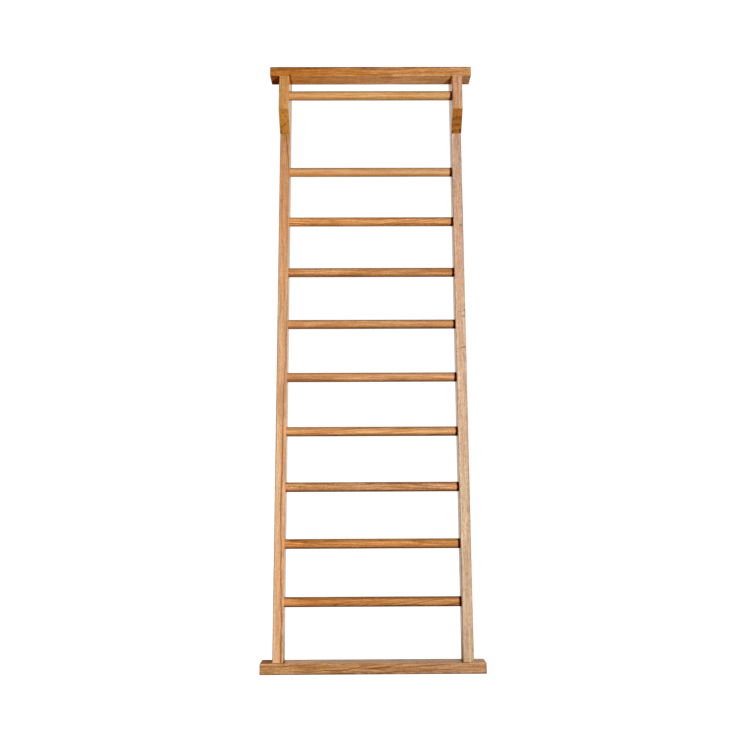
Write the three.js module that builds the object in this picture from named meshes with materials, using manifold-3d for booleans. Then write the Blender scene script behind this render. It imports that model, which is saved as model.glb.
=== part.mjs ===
// Swedish wall bars: two posts on a foot rail, nine round rungs between them, and a
// pull-up bar held forward between two head blocks under a top beam.
// Millimetres, +Z up. The front looks along -Y and the wall is at +Y.
// The origin is the centre of the foot rail's underside, on the floor.

import * as THREE from 'three';
import { mergeVertices } from 'three/addons/utils/BufferGeometryUtils.js';
import Module from 'manifold-3d';

const wasm = await Module();
wasm.setup();

// ---- driving dimensions ----
const HEIGHT = 2165; // floor to the top of the top beam
const FRAME_W = 681; // over the outsides of the posts

const BEAM_H = 36; // both beams are cut from the same stock
const BEAM_D = 70;
const BEAM_ROUND = 3;
const FOOT_L = 763; // bottom beam
const TOP_L = 748; // top beam

const POST_T = 37; // across the frame
const POST_D = 62; // front to back
const POST_ROUND = 4;

const HEAD_D = 70; // how far the head block stands forward of the post
const HEAD_SLOPE_FRONT_Z = 1999; // where the slope meets the block's front
const HEAD_SLOPE_BACK_Z = 1931; // where it ends near the post
const HEAD_TOE = 6; // flat lower end of the slope

const PITCH = 195; // rung to rung
const RUNGS = 9;
const FIRST_RUNG_Z = 230.5;
const RUNG_D = 34;
const TOP_BAR_Z = 2066;
const SOCKET = 22; // how deep a rung enters a post
const SLIP = 0.35; // room around a rung in its socket
const GLUE = 0.2; // room at a glued or butted face

const BOLT_D = 8;
const BOLT_HEAD_D = 13;
const BOLT_HEAD_H = 8;
const NUT_D = 14;
const NUT_L = 22;
const DOWEL_D = 10;
const FIT = 0.3; // room around bolts, screws, nuts and dowels

const PLATE_W = 26; // keyhole hanger plate
const PLATE_L = 74;
const PLATE_T = 2.5;
const PLATE_Z = [327, 1895];

const ROUND_SIDES = 24; // rungs and their sockets
const SMALL_SIDES = 12; // bolts, nuts, dowels
const SCREW_SIDES = 8;

// ---- derived places ----
const WALL_Y = BEAM_D / 2;
const FOOT_FRONT_Y = -BEAM_D / 2;
const POST_Y = WALL_Y - POST_D / 2;
const POST_FRONT_Y = WALL_Y - POST_D;
const HEAD_FRONT_Y = POST_FRONT_Y - HEAD_D;
const POST_X = FRAME_W / 2 - POST_T / 2;
const POST_BASE = BEAM_H + GLUE;
const POST_L = HEIGHT - POST_BASE;
const TOP_BEAM_Z = HEIGHT - BEAM_H;
const TOP_BAR_Y = POST_FRONT_Y - HEAD_D / 2;
const RUNG_L = FRAME_W - 2 * POST_T + 2 * (SOCKET - 0.5);
const rungZ = (i) => FIRST_RUNG_Z + i * PITCH;

const FOOT_BOLT_Y = 14;
const FOOT_DOWEL_Y = -12;
const FOOT_NUT_Z = 88;
const HEAD_BOLT_Z = HEIGHT - BEAM_H / 2;
const HEAD_NUT_Y = POST_FRONT_Y - 34;
const HEAD_DOWEL_Y = HEAD_FRONT_Y + 14;
const BLOCK_SCREW_Z = [1992, 2106];

// ---- geometry helpers ----
function solid(geometry) {
  const g = geometry.index ? geometry.toNonIndexed() : geometry.clone();
  for (const name of Object.keys(g.attributes)) if (name !== 'position') g.deleteAttribute(name);
  const m = mergeVertices(g, 1e-4);
  const index = m.index.array;
  const tris = [];
  for (let i = 0; i < index.length; i += 3) {
    const [a, b, c] = [index[i], index[i + 1], index[i + 2]];
    if (a !== b && b !== c && a !== c) tris.push(a, b, c);
  }
  return new wasm.Manifold(
    new wasm.Mesh({
      numProp: 3,
      vertProperties: Float32Array.from(m.attributes.position.array),
      triVerts: Uint32Array.from(tris),
    })
  );
}

function toGeometry(manifold) {
  const mesh = manifold.getMesh();
  const g = new THREE.BufferGeometry();
  g.setAttribute('position', new THREE.BufferAttribute(Float32Array.from(mesh.vertProperties), 3));
  g.setIndex(new THREE.BufferAttribute(Uint32Array.from(mesh.triVerts), 1));
  g.computeVertexNormals();
  return g;
}

// a rectangle with rounded corners, centred on the origin
function roundedRect(w, h, r, arc = 3) {
  const points = [];
  const corners = [
    [w / 2 - r, h / 2 - r, 0],
    [-w / 2 + r, h / 2 - r, Math.PI / 2],
    [-w / 2 + r, -h / 2 + r, Math.PI],
    [w / 2 - r, -h / 2 + r, (3 * Math.PI) / 2],
  ];
  for (const [cx, cy, start] of corners) {
    for (let i = 0; i <= arc; i++) {
      const a = start + (i / arc) * (Math.PI / 2);
      points.push(new THREE.Vector2(cx + r * Math.cos(a), cy + r * Math.sin(a)));
    }
  }
  return new THREE.Shape(points);
}

// a rounded bar along +Z from z = 0
const barAlongZ = (w, d, length, r) =>
  new THREE.ExtrudeGeometry(roundedRect(w, d, r), { depth: length, bevelEnabled: false, steps: 1 });

// a rounded bar along X, centred in X and Y, standing on z = 0
function barAlongX(length, d, h, r) {
  const g = new THREE.ExtrudeGeometry(roundedRect(d, h, r), { depth: length, bevelEnabled: false, steps: 1 });
  g.rotateX(Math.PI / 2); // the section's height to +Z, its length to -Y
  g.rotateZ(Math.PI / 2); // the length to +X
  g.computeBoundingBox();
  const b = g.boundingBox;
  g.translate(-(b.min.x + b.max.x) / 2, -(b.min.y + b.max.y) / 2, -b.min.z);
  return g;
}

// a round rod between two places on one axis
function rod(axis, radius, from, to, at, sides) {
  const g = new THREE.CylinderGeometry(radius, radius, Math.abs(to - from), sides, 1);
  const mid = (from + to) / 2;
  if (axis === 'x') g.rotateZ(Math.PI / 2);
  if (axis === 'z') g.rotateX(Math.PI / 2);
  const [x, y, z] = at;
  g.translate(axis === 'x' ? mid : x, axis === 'y' ? mid : y, axis === 'z' ? mid : z);
  return g;
}

// a turned piece about +Y from [radius, y] points
const turned = (points, sides) =>
  new THREE.LatheGeometry(
    points.map(([r, y]) => new THREE.Vector2(r, y)),
    sides
  );

// a countersunk wood screw about Y: its head's face is at y = 0 and its tip at y = -length
function screwGeometry(d, headD, length) {
  const cone = (headD - d) / 2;
  return turned(
    [
      [0, -length],
      [d * 0.2, -length + 0.2],
      [d / 2, -length + d * 1.4],
      [d / 2, -cone],
      [headD / 2, -0.6],
      [headD / 2, 0],
      [0, 0],
    ],
    SCREW_SIDES
  );
}

// the hole that such a screw leaves, open above its head by `above`
function screwHole(d, headD, length, above) {
  const cone = (headD - d) / 2;
  const r = d / 2 + FIT;
  const h = headD / 2 + FIT;
  return turned(
    [
      [0, -length - FIT],
      [r, -length - FIT],
      [r, -cone - FIT],
      [h, -0.6 - FIT],
      [h, above],
      [0, above],
    ],
    SCREW_SIDES
  );
}

// a socket-head bolt about Y: the head's face at y = 0, the shank running to y = -length
function boltGeometry(length) {
  const body = solid(
    turned(
      [
        [0, -length],
        [BOLT_D / 2 - 1, -length],
        [BOLT_D / 2, -length + 1],
        [BOLT_D / 2, -BOLT_HEAD_H],
        [BOLT_HEAD_D / 2, -BOLT_HEAD_H],
        [BOLT_HEAD_D / 2, -0.8],
        [BOLT_HEAD_D / 2 - 0.8, 0],
        [0, 0],
      ],
      SMALL_SIDES
    )
  );
  const key = solid(rod('y', 3.4, -4.5, 1, [0, 0, 0], 6));
  return toGeometry(body.subtract(key));
}

// ---- materials ----
const wood = (hex, roughness) => new THREE.MeshStandardMaterial({ color: hex, roughness, metalness: 0 });
const steel = (hex, roughness) => new THREE.MeshStandardMaterial({ color: hex, roughness, metalness: 1 });
const postWood = () => wood(0xcf9f70, 0.5);
const headWood = () => wood(0xc8955c, 0.5);
const beamWood = () => wood(0xb47b42, 0.48);
const rungWood = () => wood(0xd8a268, 0.42);
const dowelWood = () => wood(0xd9b98c, 0.7);
const zincSteel = () => steel(0xa9adb0, 0.4);
const plateSteel = () => steel(0x8f9396, 0.45);

const wallBars = new THREE.Group();

function place(group, name, geometry, material, x = 0, y = 0, z = 0) {
  const mesh = new THREE.Mesh(geometry, material);
  mesh.name = name;
  mesh.position.set(x, y, z);
  group.add(mesh);
  return mesh;
}

// cuts tools, given in the object's own place, out of a piece that stands at (x, y, z)
function cut(piece, tools, x, y, z) {
  let s = solid(piece);
  for (const t of tools) s = s.subtract(solid(t.clone().translate(-x, -y, -z)));
  return toGeometry(s);
}

// a screw hole or a screw whose head faces the wall, at its own place
const fromWall = (g, x, z, inset) => g.translate(x, WALL_Y - inset, z);

// the keyhole plate's outline, its keyhole and its screw holes
function plateOutline(grow) {
  return roundedRect(PLATE_W + 2 * grow, PLATE_L + 2 * grow, 6 + grow, 4);
}
function keyhole() {
  const big = 6; // passes a wall screw's head
  const slot = 3.2; // holds its neck
  const meet = Math.acos(slot / big);
  const points = [];
  for (let i = 0; i <= 6; i++) {
    const a = (i / 6) * Math.PI;
    points.push(new THREE.Vector2(slot * Math.cos(a), 10 + slot * Math.sin(a)));
  }
  for (let i = 0; i <= 12; i++) {
    const a = Math.PI - meet + (i / 12) * (Math.PI + 2 * meet);
    points.push(new THREE.Vector2(big * Math.cos(a), -6 + big * Math.sin(a)));
  }
  return points;
}
const PLATE_SCREW = 28; // screw places above and below the plate's middle

// ---- left and right: posts, head blocks and what fastens them ----
const lockSide = (i) => (i % 2 === 0 ? -1 : 1); // the rungs are locked left and right in turn
const lockX = (side) => side * (POST_X - POST_T / 2 + SOCKET / 2);

for (const [side, word] of [
  [-1, 'left'],
  [1, 'right'],
]) {
  const x = side * POST_X;
  const inner = side * (POST_X - POST_T / 2);
  const socketEnd = inner + side * SOCKET;
  const past = inner - side * 5;

  // post
  const postTools = [];
  for (let i = 0; i < RUNGS; i++) {
    postTools.push(rod('x', RUNG_D / 2 + SLIP, past, socketEnd, [0, POST_Y, rungZ(i)], ROUND_SIDES));
    if (lockSide(i) === side) postTools.push(fromWall(screwHole(4.5, 9, 46, 3), lockX(side), rungZ(i), 0.5));
  }
  postTools.push(rod('z', BOLT_D / 2 + FIT, POST_BASE - 5, 112, [x, FOOT_BOLT_Y, 0], SMALL_SIDES));
  postTools.push(rod('y', NUT_D / 2 + FIT, FOOT_BOLT_Y - NUT_L / 2 - FIT, WALL_Y + 5, [x, 0, FOOT_NUT_Z], SMALL_SIDES));
  postTools.push(rod('z', DOWEL_D / 2 + FIT, POST_BASE - 5, 66 + FIT, [x, FOOT_DOWEL_Y, 0], SMALL_SIDES));
  postTools.push(rod('y', BOLT_D / 2 + FIT, POST_FRONT_Y - 5, WALL_Y + 5, [x, 0, HEAD_BOLT_Z], SMALL_SIDES));
  postTools.push(rod('y', BOLT_HEAD_D / 2 + 2, WALL_Y - 2 - BOLT_HEAD_H - FIT, WALL_Y + 5, [x, 0, HEAD_BOLT_Z], SMALL_SIDES));
  for (const z of BLOCK_SCREW_Z) postTools.push(fromWall(screwHole(6, 12, 105, 3), x, z, 0.5));
  for (const z of PLATE_Z) {
    const recess = new THREE.ExtrudeGeometry(plateOutline(FIT), { depth: PLATE_T + 0.3 + 5, bevelEnabled: false });
    recess.rotateX(Math.PI / 2).translate(x, WALL_Y + 5, z);
    postTools.push(recess);
    const pocket = new THREE.ExtrudeGeometry(roundedRect(16, 34, 7.9, 4), { depth: 16, bevelEnabled: false });
    pocket.rotateX(Math.PI / 2).translate(x, WALL_Y, z + 1);
    postTools.push(pocket);
    for (const dz of [-PLATE_SCREW, PLATE_SCREW]) {
      postTools.push(rod('y', 2 + FIT, WALL_Y - 31, WALL_Y, [x, 0, z + dz], SCREW_SIDES));
    }
  }
  place(
    wallBars,
    `post_${word}`,
    cut(barAlongZ(POST_T, POST_D, POST_L, POST_ROUND), postTools, x, POST_Y, POST_BASE),
    postWood(),
    x,
    POST_Y,
    POST_BASE
  );

  // head block: its side outline, extruded across the post's thickness
  const headTop = TOP_BEAM_Z - GLUE;
  const backY = POST_FRONT_Y - GLUE;
  const outline = new THREE.Shape([
    new THREE.Vector2(HEAD_FRONT_Y, HEAD_SLOPE_FRONT_Z),
    new THREE.Vector2(backY - HEAD_TOE, HEAD_SLOPE_BACK_Z),
    new THREE.Vector2(backY, HEAD_SLOPE_BACK_Z),
    new THREE.Vector2(backY, headTop),
    new THREE.Vector2(HEAD_FRONT_Y, headTop),
  ]);
  const block = new THREE.ExtrudeGeometry(outline, { depth: POST_T, bevelEnabled: false });
  block.rotateX(Math.PI / 2).rotateZ(Math.PI / 2).translate(x - POST_T / 2, 0, 0);
  const blockTools = [
    rod('x', RUNG_D / 2 + SLIP, past, socketEnd, [0, TOP_BAR_Y, TOP_BAR_Z], ROUND_SIDES),
    rod('z', DOWEL_D / 2 + FIT, headTop - 22 - FIT, headTop + 5, [x, HEAD_DOWEL_Y, 0], SMALL_SIDES),
    screwHole(5, 10, 66, 5).rotateX(Math.PI / 2).translate(lockX(side), TOP_BAR_Y, headTop - 0.5),
  ];
  for (const z of BLOCK_SCREW_Z) blockTools.push(fromWall(screwHole(6, 12, 105, 3), x, z, 0.5));
  place(wallBars, `head_block_${word}`, cut(block, blockTools, 0, 0, 0), headWood());

  // foot: bolt from below, barrel nut from the back, wooden dowel
  const footBolt = boltGeometry(98);
  footBolt.rotateX(-Math.PI / 2);
  place(wallBars, `foot_bolt_${word}`, footBolt, zincSteel(), x, FOOT_BOLT_Y, 5);
  const footNut = solid(rod('y', NUT_D / 2, -NUT_L / 2, NUT_L / 2, [0, 0, 0], SMALL_SIDES)).subtract(
    solid(rod('z', BOLT_D / 2 + FIT, -20, 20, [0, 0, 0], SMALL_SIDES))
  );
  place(wallBars, `foot_barrel_nut_${word}`, toGeometry(footNut), zincSteel(), x, FOOT_BOLT_Y, FOOT_NUT_Z);
  place(wallBars, `foot_dowel_${word}`, rod('z', DOWEL_D / 2, 16, 66, [0, 0, 0], SMALL_SIDES), dowelWood(), x, FOOT_DOWEL_Y, 0);

  // head: bolt from the wall side into the top beam, barrel nut, wooden dowel
  const headBolt = boltGeometry(106);
  place(wallBars, `head_bolt_${word}`, headBolt, zincSteel(), x, WALL_Y - 2, HEAD_BOLT_Z);
  const headNut = solid(rod('z', NUT_D / 2, -NUT_L / 2, NUT_L / 2, [0, 0, 0], SMALL_SIDES)).subtract(
    solid(rod('y', BOLT_D / 2 + FIT, -20, 20, [0, 0, 0], SMALL_SIDES))
  );
  place(wallBars, `head_barrel_nut_${word}`, toGeometry(headNut), zincSteel(), x, HEAD_NUT_Y, HEAD_BOLT_Z);
  place(
    wallBars,
    `head_dowel_${word}`,
    rod('z', DOWEL_D / 2, headTop - 22, headTop + 20, [0, 0, 0], SMALL_SIDES),
    dowelWood(),
    x,
    HEAD_DOWEL_Y,
    0
  );

  // head block screws from the wall side
  BLOCK_SCREW_Z.forEach((z, i) =>
    place(wallBars, `block_screw_${word}_${i === 0 ? 'lower' : 'upper'}`, screwGeometry(6, 12, 105), zincSteel(), x, WALL_Y - 0.5, z)
  );

  // the top bar's lock screw, down from the block's top
  const barLock = screwGeometry(5, 10, 66);
  barLock.rotateX(Math.PI / 2);
  place(wallBars, `top_bar_lock_screw_${word}`, barLock, zincSteel(), lockX(side), TOP_BAR_Y, headTop - 0.5);

  // keyhole hanger plates in the back, each with two screws
  PLATE_Z.forEach((z, i) => {
    const level = i === 0 ? 'lower' : 'upper';
    const outlineShape = plateOutline(0);
    outlineShape.holes.push(new THREE.Path(keyhole()));
    const plate = new THREE.ExtrudeGeometry(outlineShape, { depth: PLATE_T, bevelEnabled: false });
    plate.rotateX(Math.PI / 2);
    const plateTools = [-PLATE_SCREW, PLATE_SCREW].map((dz) => screwHole(4, 8, 28, 3).translate(0, -0.2, dz));
    place(wallBars, `hanger_plate_${word}_${level}`, cut(plate, plateTools, 0, 0, 0), plateSteel(), x, WALL_Y - 0.2, z);
    for (const dz of [-PLATE_SCREW, PLATE_SCREW]) {
      const which = dz < 0 ? 'low' : 'high';
      place(
        wallBars,
        `hanger_screw_${word}_${level}_${which}`,
        screwGeometry(4, 8, 28),
        zincSteel(),
        x,
        WALL_Y - 0.4,
        z + dz
      );
    }
  });
}

// ---- bottom beam ----
const footTools = [];
for (const side of [-1, 1]) {
  const x = side * POST_X;
  footTools.push(rod('z', BOLT_D / 2 + FIT, -5, BEAM_H + 5, [x, FOOT_BOLT_Y, 0], SMALL_SIDES));
  footTools.push(rod('z', BOLT_HEAD_D / 2 + 2, -5, 5 + BOLT_HEAD_H + FIT, [x, FOOT_BOLT_Y, 0], SMALL_SIDES));
  footTools.push(rod('z', DOWEL_D / 2 + FIT, 16 - FIT, BEAM_H + 5, [x, FOOT_DOWEL_Y, 0], SMALL_SIDES));
}
place(wallBars, 'bottom_beam', cut(barAlongX(FOOT_L, BEAM_D, BEAM_H, BEAM_ROUND), footTools, 0, 0, 0), beamWood());

// ---- top beam ----
const topY = HEAD_FRONT_Y + BEAM_D / 2;
const topTools = [];
for (const side of [-1, 1]) {
  const x = side * POST_X;
  topTools.push(rod('y', BOLT_D / 2 + FIT, WALL_Y - 2 - 106 - 2, POST_FRONT_Y + 5, [x, 0, HEAD_BOLT_Z], SMALL_SIDES));
  topTools.push(rod('z', NUT_D / 2 + FIT, TOP_BEAM_Z - 5, HEAD_BOLT_Z + NUT_L / 2 + FIT, [x, HEAD_NUT_Y, 0], SMALL_SIDES));
  topTools.push(rod('z', DOWEL_D / 2 + FIT, TOP_BEAM_Z - 5, TOP_BEAM_Z - GLUE + 20 + FIT, [x, HEAD_DOWEL_Y, 0], SMALL_SIDES));
}
place(
  wallBars,
  'top_beam',
  cut(barAlongX(TOP_L, BEAM_D - 2 * GLUE, BEAM_H, BEAM_ROUND), topTools, 0, topY - GLUE, TOP_BEAM_Z),
  beamWood(),
  0,
  topY - GLUE,
  TOP_BEAM_Z
);

// ---- rungs and their lock screws ----
for (let i = 0; i < RUNGS; i++) {
  const z = rungZ(i);
  const rung = rod('x', RUNG_D / 2, -RUNG_L / 2, RUNG_L / 2, [0, 0, 0], ROUND_SIDES);
  const side = lockSide(i);
  const hole = fromWall(screwHole(4.5, 9, 46, 3), lockX(side), z, 0.5);
  place(wallBars, `rung_${i + 1}`, cut(rung, [hole], 0, POST_Y, z), rungWood(), 0, POST_Y, z);
  place(wallBars, `rung_lock_screw_${i + 1}`, screwGeometry(4.5, 9, 46), zincSteel(), lockX(side), WALL_Y - 0.5, z);
}

// ---- top bar ----
const barHoles = [-1, 1].map((side) =>
  screwHole(5, 10, 66, 5)
    .rotateX(Math.PI / 2)
    .translate(lockX(side), TOP_BAR_Y, TOP_BEAM_Z - GLUE - 0.5)
);
place(
  wallBars,
  'top_bar',
  cut(rod('x', RUNG_D / 2, -RUNG_L / 2, RUNG_L / 2, [0, 0, 0], ROUND_SIDES), barHoles, 0, TOP_BAR_Y, TOP_BAR_Z),
  rungWood(),
  0,
  TOP_BAR_Y,
  TOP_BAR_Z
);

export default wallBars;
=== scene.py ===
import math

import bmesh
import bpy
from mathutils import Matrix, Vector, noise as mnoise


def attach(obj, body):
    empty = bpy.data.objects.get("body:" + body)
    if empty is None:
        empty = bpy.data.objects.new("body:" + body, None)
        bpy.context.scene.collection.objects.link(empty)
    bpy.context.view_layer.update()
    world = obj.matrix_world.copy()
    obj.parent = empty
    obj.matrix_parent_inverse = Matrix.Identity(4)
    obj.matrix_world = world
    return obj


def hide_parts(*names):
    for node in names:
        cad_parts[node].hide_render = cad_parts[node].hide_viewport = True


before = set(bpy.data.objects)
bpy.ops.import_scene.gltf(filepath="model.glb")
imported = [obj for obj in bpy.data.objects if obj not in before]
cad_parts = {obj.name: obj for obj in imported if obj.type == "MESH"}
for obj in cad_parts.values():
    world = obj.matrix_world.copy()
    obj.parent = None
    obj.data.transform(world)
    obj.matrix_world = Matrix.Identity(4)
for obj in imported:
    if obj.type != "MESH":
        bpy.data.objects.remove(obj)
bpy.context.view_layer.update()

MM = 0.001
UV = "OFBake"

# ---------------------------------------------------------------- sizes, mm, as in the CAD
HEIGHT, FRAME_W = 2165.0, 681.0
BEAM_H, BEAM_D, FOOT_L, TOP_L = 36.0, 70.0, 763.0, 748.0
POST_T, POST_D = 37.0, 62.0
POST_X, POST_Y, POST_BASE = 322.0, 4.0, 36.2
WALL_Y, POST_FRONT_Y = 35.0, -27.0
HEAD_FRONT_Y, HEAD_BACK_Y, HEAD_TOP = -97.0, -27.2, 2128.8
SLOPE_FRONT_Z, SLOPE_BACK_Z, TOE = 1999.0, 1931.0, 6.0
RUNG_R, RUNG_L, SOCKET = 17.0, 650.0, 22.0
TOP_BAR_Y, TOP_BAR_Z = -62.0, 2066.0
TOP_BEAM_Z, TOP_BEAM_Y, TOP_BEAM_D = 2129.0, -62.2, 69.6
BLOCK_SCREW_Z = (1992.0, 2106.0)
PLATE_Z = (327.0, 1895.0)
LOCK_X = POST_X - POST_T / 2 + SOCKET / 2


def rung_z(i):
    return 230.5 + 195.0 * i


# ---------------------------------------------------------------- mesh helpers
def wob(seed, s, scale=1.0):
    """Smooth, repeatable wander between about -1 and 1."""
    return mnoise.noise(Vector((seed * 7.31 + 0.37, s * scale, seed * 1.7 + 0.11))) * 1.6


def new_object(name, bm):
    me = bpy.data.meshes.new(name)
    bmesh.ops.recalc_face_normals(bm, faces=bm.faces[:])
    bm.to_mesh(me)
    bm.free()
    ob = bpy.data.objects.new(name, me)
    bpy.context.scene.collection.objects.link(ob)
    return ob


def rounded(w, d, r, arc):
    """Loop of (u, v, how rounded) round a rectangle with rounded corners."""
    out = []
    for cx, cy, a0 in ((1, -1, -90), (1, 1, 0), (-1, 1, 90), (-1, -1, 180)):
        for i in range(arc + 1):
            a = math.radians(a0 + 90.0 * i / arc)
            e = math.sin(math.pi * i / arc)
            out.append((cx * (w / 2 - r) + r * math.cos(a), cy * (d / 2 - r) + r * math.sin(a), e))
    return out


def to_axis(axis, u, v, s):
    """Section (u, v) and place along the piece, to x, y, z."""
    return (u, v, s) if axis == "z" else (s, u, v)


class Atlas:
    """Keeps places in a square map, in mm, for a piece's faces."""

    def __init__(self, side):
        self.side = side
        self.spare = None
        self.cursor = None

    def uv(self, x, y):
        return (x / self.side, y / self.side)

    def spare_area(self, x, y):
        self.spare = (x, y)
        self.cursor = [x, y, 0.0]

    def take(self, w, h):
        x, y, row = self.cursor
        if x + w > self.side - 3:
            x, y, row = self.spare[0], y + row + 3, 0.0
        self.cursor = [x + w + 3, y, max(row, h)]
        return (x, y, x + w, y + h)


def timber(name, axis, w, d, s0, s1, r, seed, strips, side, arc=6, ease=1.4, step=24.0):
    """A planed bar with hand-eased edges: the rounding wanders a little along it. Returns the object and its atlas."""
    bm = bmesh.new()
    layer = bm.loops.layers.uv.new(UV)
    edge = bm.verts.layers.float.new("edge")
    length = s1 - s0
    # the eased ends: how far in, and how far along
    ends = [(ease * (1 - math.sin(math.pi / 2 * k / 3)), ease * (1 - math.cos(math.pi / 2 * k / 3))) for k in range(4)]
    inner = max(strips, int(round((length - 2 * ease) / step / strips)) * strips)
    ring_s = [s0 + off for inset, off in ends]
    ring_in = [inset for inset, off in ends]
    for k in range(1, inner):
        ring_s.append(s0 + length * k / inner)
        ring_in.append(0.0)
    ring_s += [s1 - off for inset, off in reversed(ends)]
    ring_in += [inset for inset, off in reversed(ends)]
    rings, lens = [], None
    for s, inset in zip(ring_s, ring_in):
        rr = r * (1.0 + 0.16 * wob(seed, s, 0.011) + 0.07 * wob(seed + 3, s, 0.05))
        loop = rounded(w - 2 * inset, d - 2 * inset, max(rr - inset, 0.5), arc)
        ring = []
        for u, v, e in loop:
            vert = bm.verts.new(Vector(to_axis(axis, u, v, s)) * MM)
            vert[edge] = max(e, min(1.0, inset / ease))
            ring.append(vert)
        rings.append(ring)
        if lens is None and inset == 0:
            lens = [0.0]
            for k in range(len(loop)):
                a, b = loop[k], loop[(k + 1) % len(loop)]
                lens.append(lens[-1] + math.hypot(a[0] - b[0], a[1] - b[1]))
    n = len(rings[0])
    girth = lens[-1]
    run = length / strips
    for i in range(len(rings) - 1):
        mid = (ring_s[i] + ring_s[i + 1]) / 2 - s0
        strip = min(strips - 1, int(mid / run))
        ox = 4 + strip * (girth + 8)
        for j in range(n):
            k = (j + 1) % n
            f = bm.faces.new((rings[i][j], rings[i][k], rings[i + 1][k], rings[i + 1][j]))
            # the eased ends keep a little width of their own in the map
            sa, sb = ring_s[i] - s0 - strip * run, ring_s[i + 1] - s0 - strip * run
            sa -= ring_in[i] if mid < length / 2 else -ring_in[i]
            sb -= ring_in[i + 1] if mid < length / 2 else -ring_in[i + 1]
            for lp, (q, t) in zip(f.loops, ((j, sa), (j + 1, sa), (j + 1, sb), (j, sb))):
                lp[layer].uv = ((ox + lens[q]) / side, (4 + t) / side)
    atlas = Atlas(side)
    right = 4 + strips * (girth + 8)
    atlas.spare_area(right, 4)
    for ring, flip in ((rings[0], True), (rings[-1], False)):
        f = bm.faces.new(ring[::-1] if flip else ring)
        x0, y0, x1, y1 = atlas.take(min(w, d), max(w, d))
        for lp in f.loops:
            c = lp.vert.co / MM
            u, v = (c.x, c.y) if axis == "z" else (c.y, c.z)
            if w > d:
                u, v = v, u
            lp[layer].uv = ((x0 + min(w, d) / 2 + u) / side, (y0 + max(w, d) / 2 + v) / side)
    return new_object(name, bm), atlas


def lathe(name, profile, n=24, place=None, box=None, side=1.0, edge_of=None):
    """A turned solid about local z from (radius, z) points; the first and last radius are 0. box is its rectangle in the map."""
    bm = bmesh.new()
    layer = bm.loops.layers.uv.new(UV)
    edge = bm.verts.layers.float.new("edge")
    total = [0.0]
    for a, b in zip(profile, profile[1:]):
        total.append(total[-1] + math.hypot(a[0] - b[0], a[1] - b[1]))
    rows = []
    for k, (r, z) in enumerate(profile):
        if r <= 1e-6:
            v = bm.verts.new((0, 0, z * MM))
            rows.append([v] * n)
        else:
            rows.append([bm.verts.new((r * math.cos(2 * math.pi * i / n) * MM, r * math.sin(2 * math.pi * i / n) * MM, z * MM)) for i in range(n)])
        if edge_of:
            for v in set(rows[-1]):
                v[edge] = edge_of(k)
    for k in range(len(rows) - 1):
        for i in range(n):
            j = (i + 1) % n
            want = [(rows[k][i], i, k), (rows[k][j], i + 1, k), (rows[k + 1][j], i + 1, k + 1), (rows[k + 1][i], i, k + 1)]
            vs, cs = [], []
            for v, q, t in want:
                if v not in vs:
                    vs.append(v)
                    cs.append((q, t))
            if len(vs) < 3:
                continue
            f = bm.faces.new(vs)
            if box:
                x0, y0, x1, y1 = box
                for lp in f.loops:
                    q, t = cs[vs.index(lp.vert)]
                    lp[layer].uv = ((x0 + (x1 - x0) * q / n) / side, (y0 + (y1 - y0) * total[t] / total[-1]) / side)
    ob = new_object(name, bm)
    if place is not None:
        ob.data.transform(place)
    return ob


def prism(name, loop, depth0, depth1, place=None, box=None, side=1.0):
    """A straight solid from a flat loop (u, v), between two heights on local z."""
    bm = bmesh.new()
    layer = bm.loops.layers.uv.new(UV)
    bm.verts.layers.float.new("edge")
    lo = [bm.verts.new((u * MM, v * MM, depth0 * MM)) for u, v in loop]
    hi = [bm.verts.new((u * MM, v * MM, depth1 * MM)) for u, v in loop]
    n = len(loop)
    us, vs = [p[0] for p in loop], [p[1] for p in loop]
    faces = [bm.faces.new(lo[::-1]), bm.faces.new(hi)]
    for i in range(n):
        j = (i + 1) % n
        faces.append(bm.faces.new((lo[i], lo[j], hi[j], hi[i])))
    if box:
        x0, y0, x1, y1 = box
        h = (y1 - y0) / 3
        for q, f in enumerate(faces):
            for lp in f.loops:
                c = lp.vert.co / MM
                if q < 2:
                    a = (c.x - min(us)) / (max(us) - min(us))
                    b = (c.y - min(vs)) / (max(vs) - min(vs))
                    lp[layer].uv = ((x0 + (x1 - x0) * a) / side, (y0 + h * (q + b * 0.95)) / side)
                else:
                    i = q - 2
                    at = i if lp.vert in (lo[i], hi[i]) else i + 1
                    b = (c.z / 1 - depth0) / (depth1 - depth0)
                    lp[layer].uv = ((x0 + (x1 - x0) * at / n) / side, (y0 + h * (2 + b * 0.95)) / side)
    ob = new_object(name, bm)
    if place is not None:
        ob.data.transform(place)
    return ob


def at(x, y, z, towards="z"):
    """Local z turned to an axis, then moved, in mm."""
    turn = {
        "z": Matrix.Identity(4),
        "-z": Matrix.Rotation(math.pi, 4, "X"),
        "y": Matrix.Rotation(-math.pi / 2, 4, "X"),
        "-y": Matrix.Rotation(math.pi / 2, 4, "X"),
        "x": Matrix.Rotation(math.pi / 2, 4, "Y"),
        "-x": Matrix.Rotation(-math.pi / 2, 4, "Y"),
    }[towards]
    return Matrix.Translation(Vector((x, y, z)) * MM) @ turn


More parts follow.
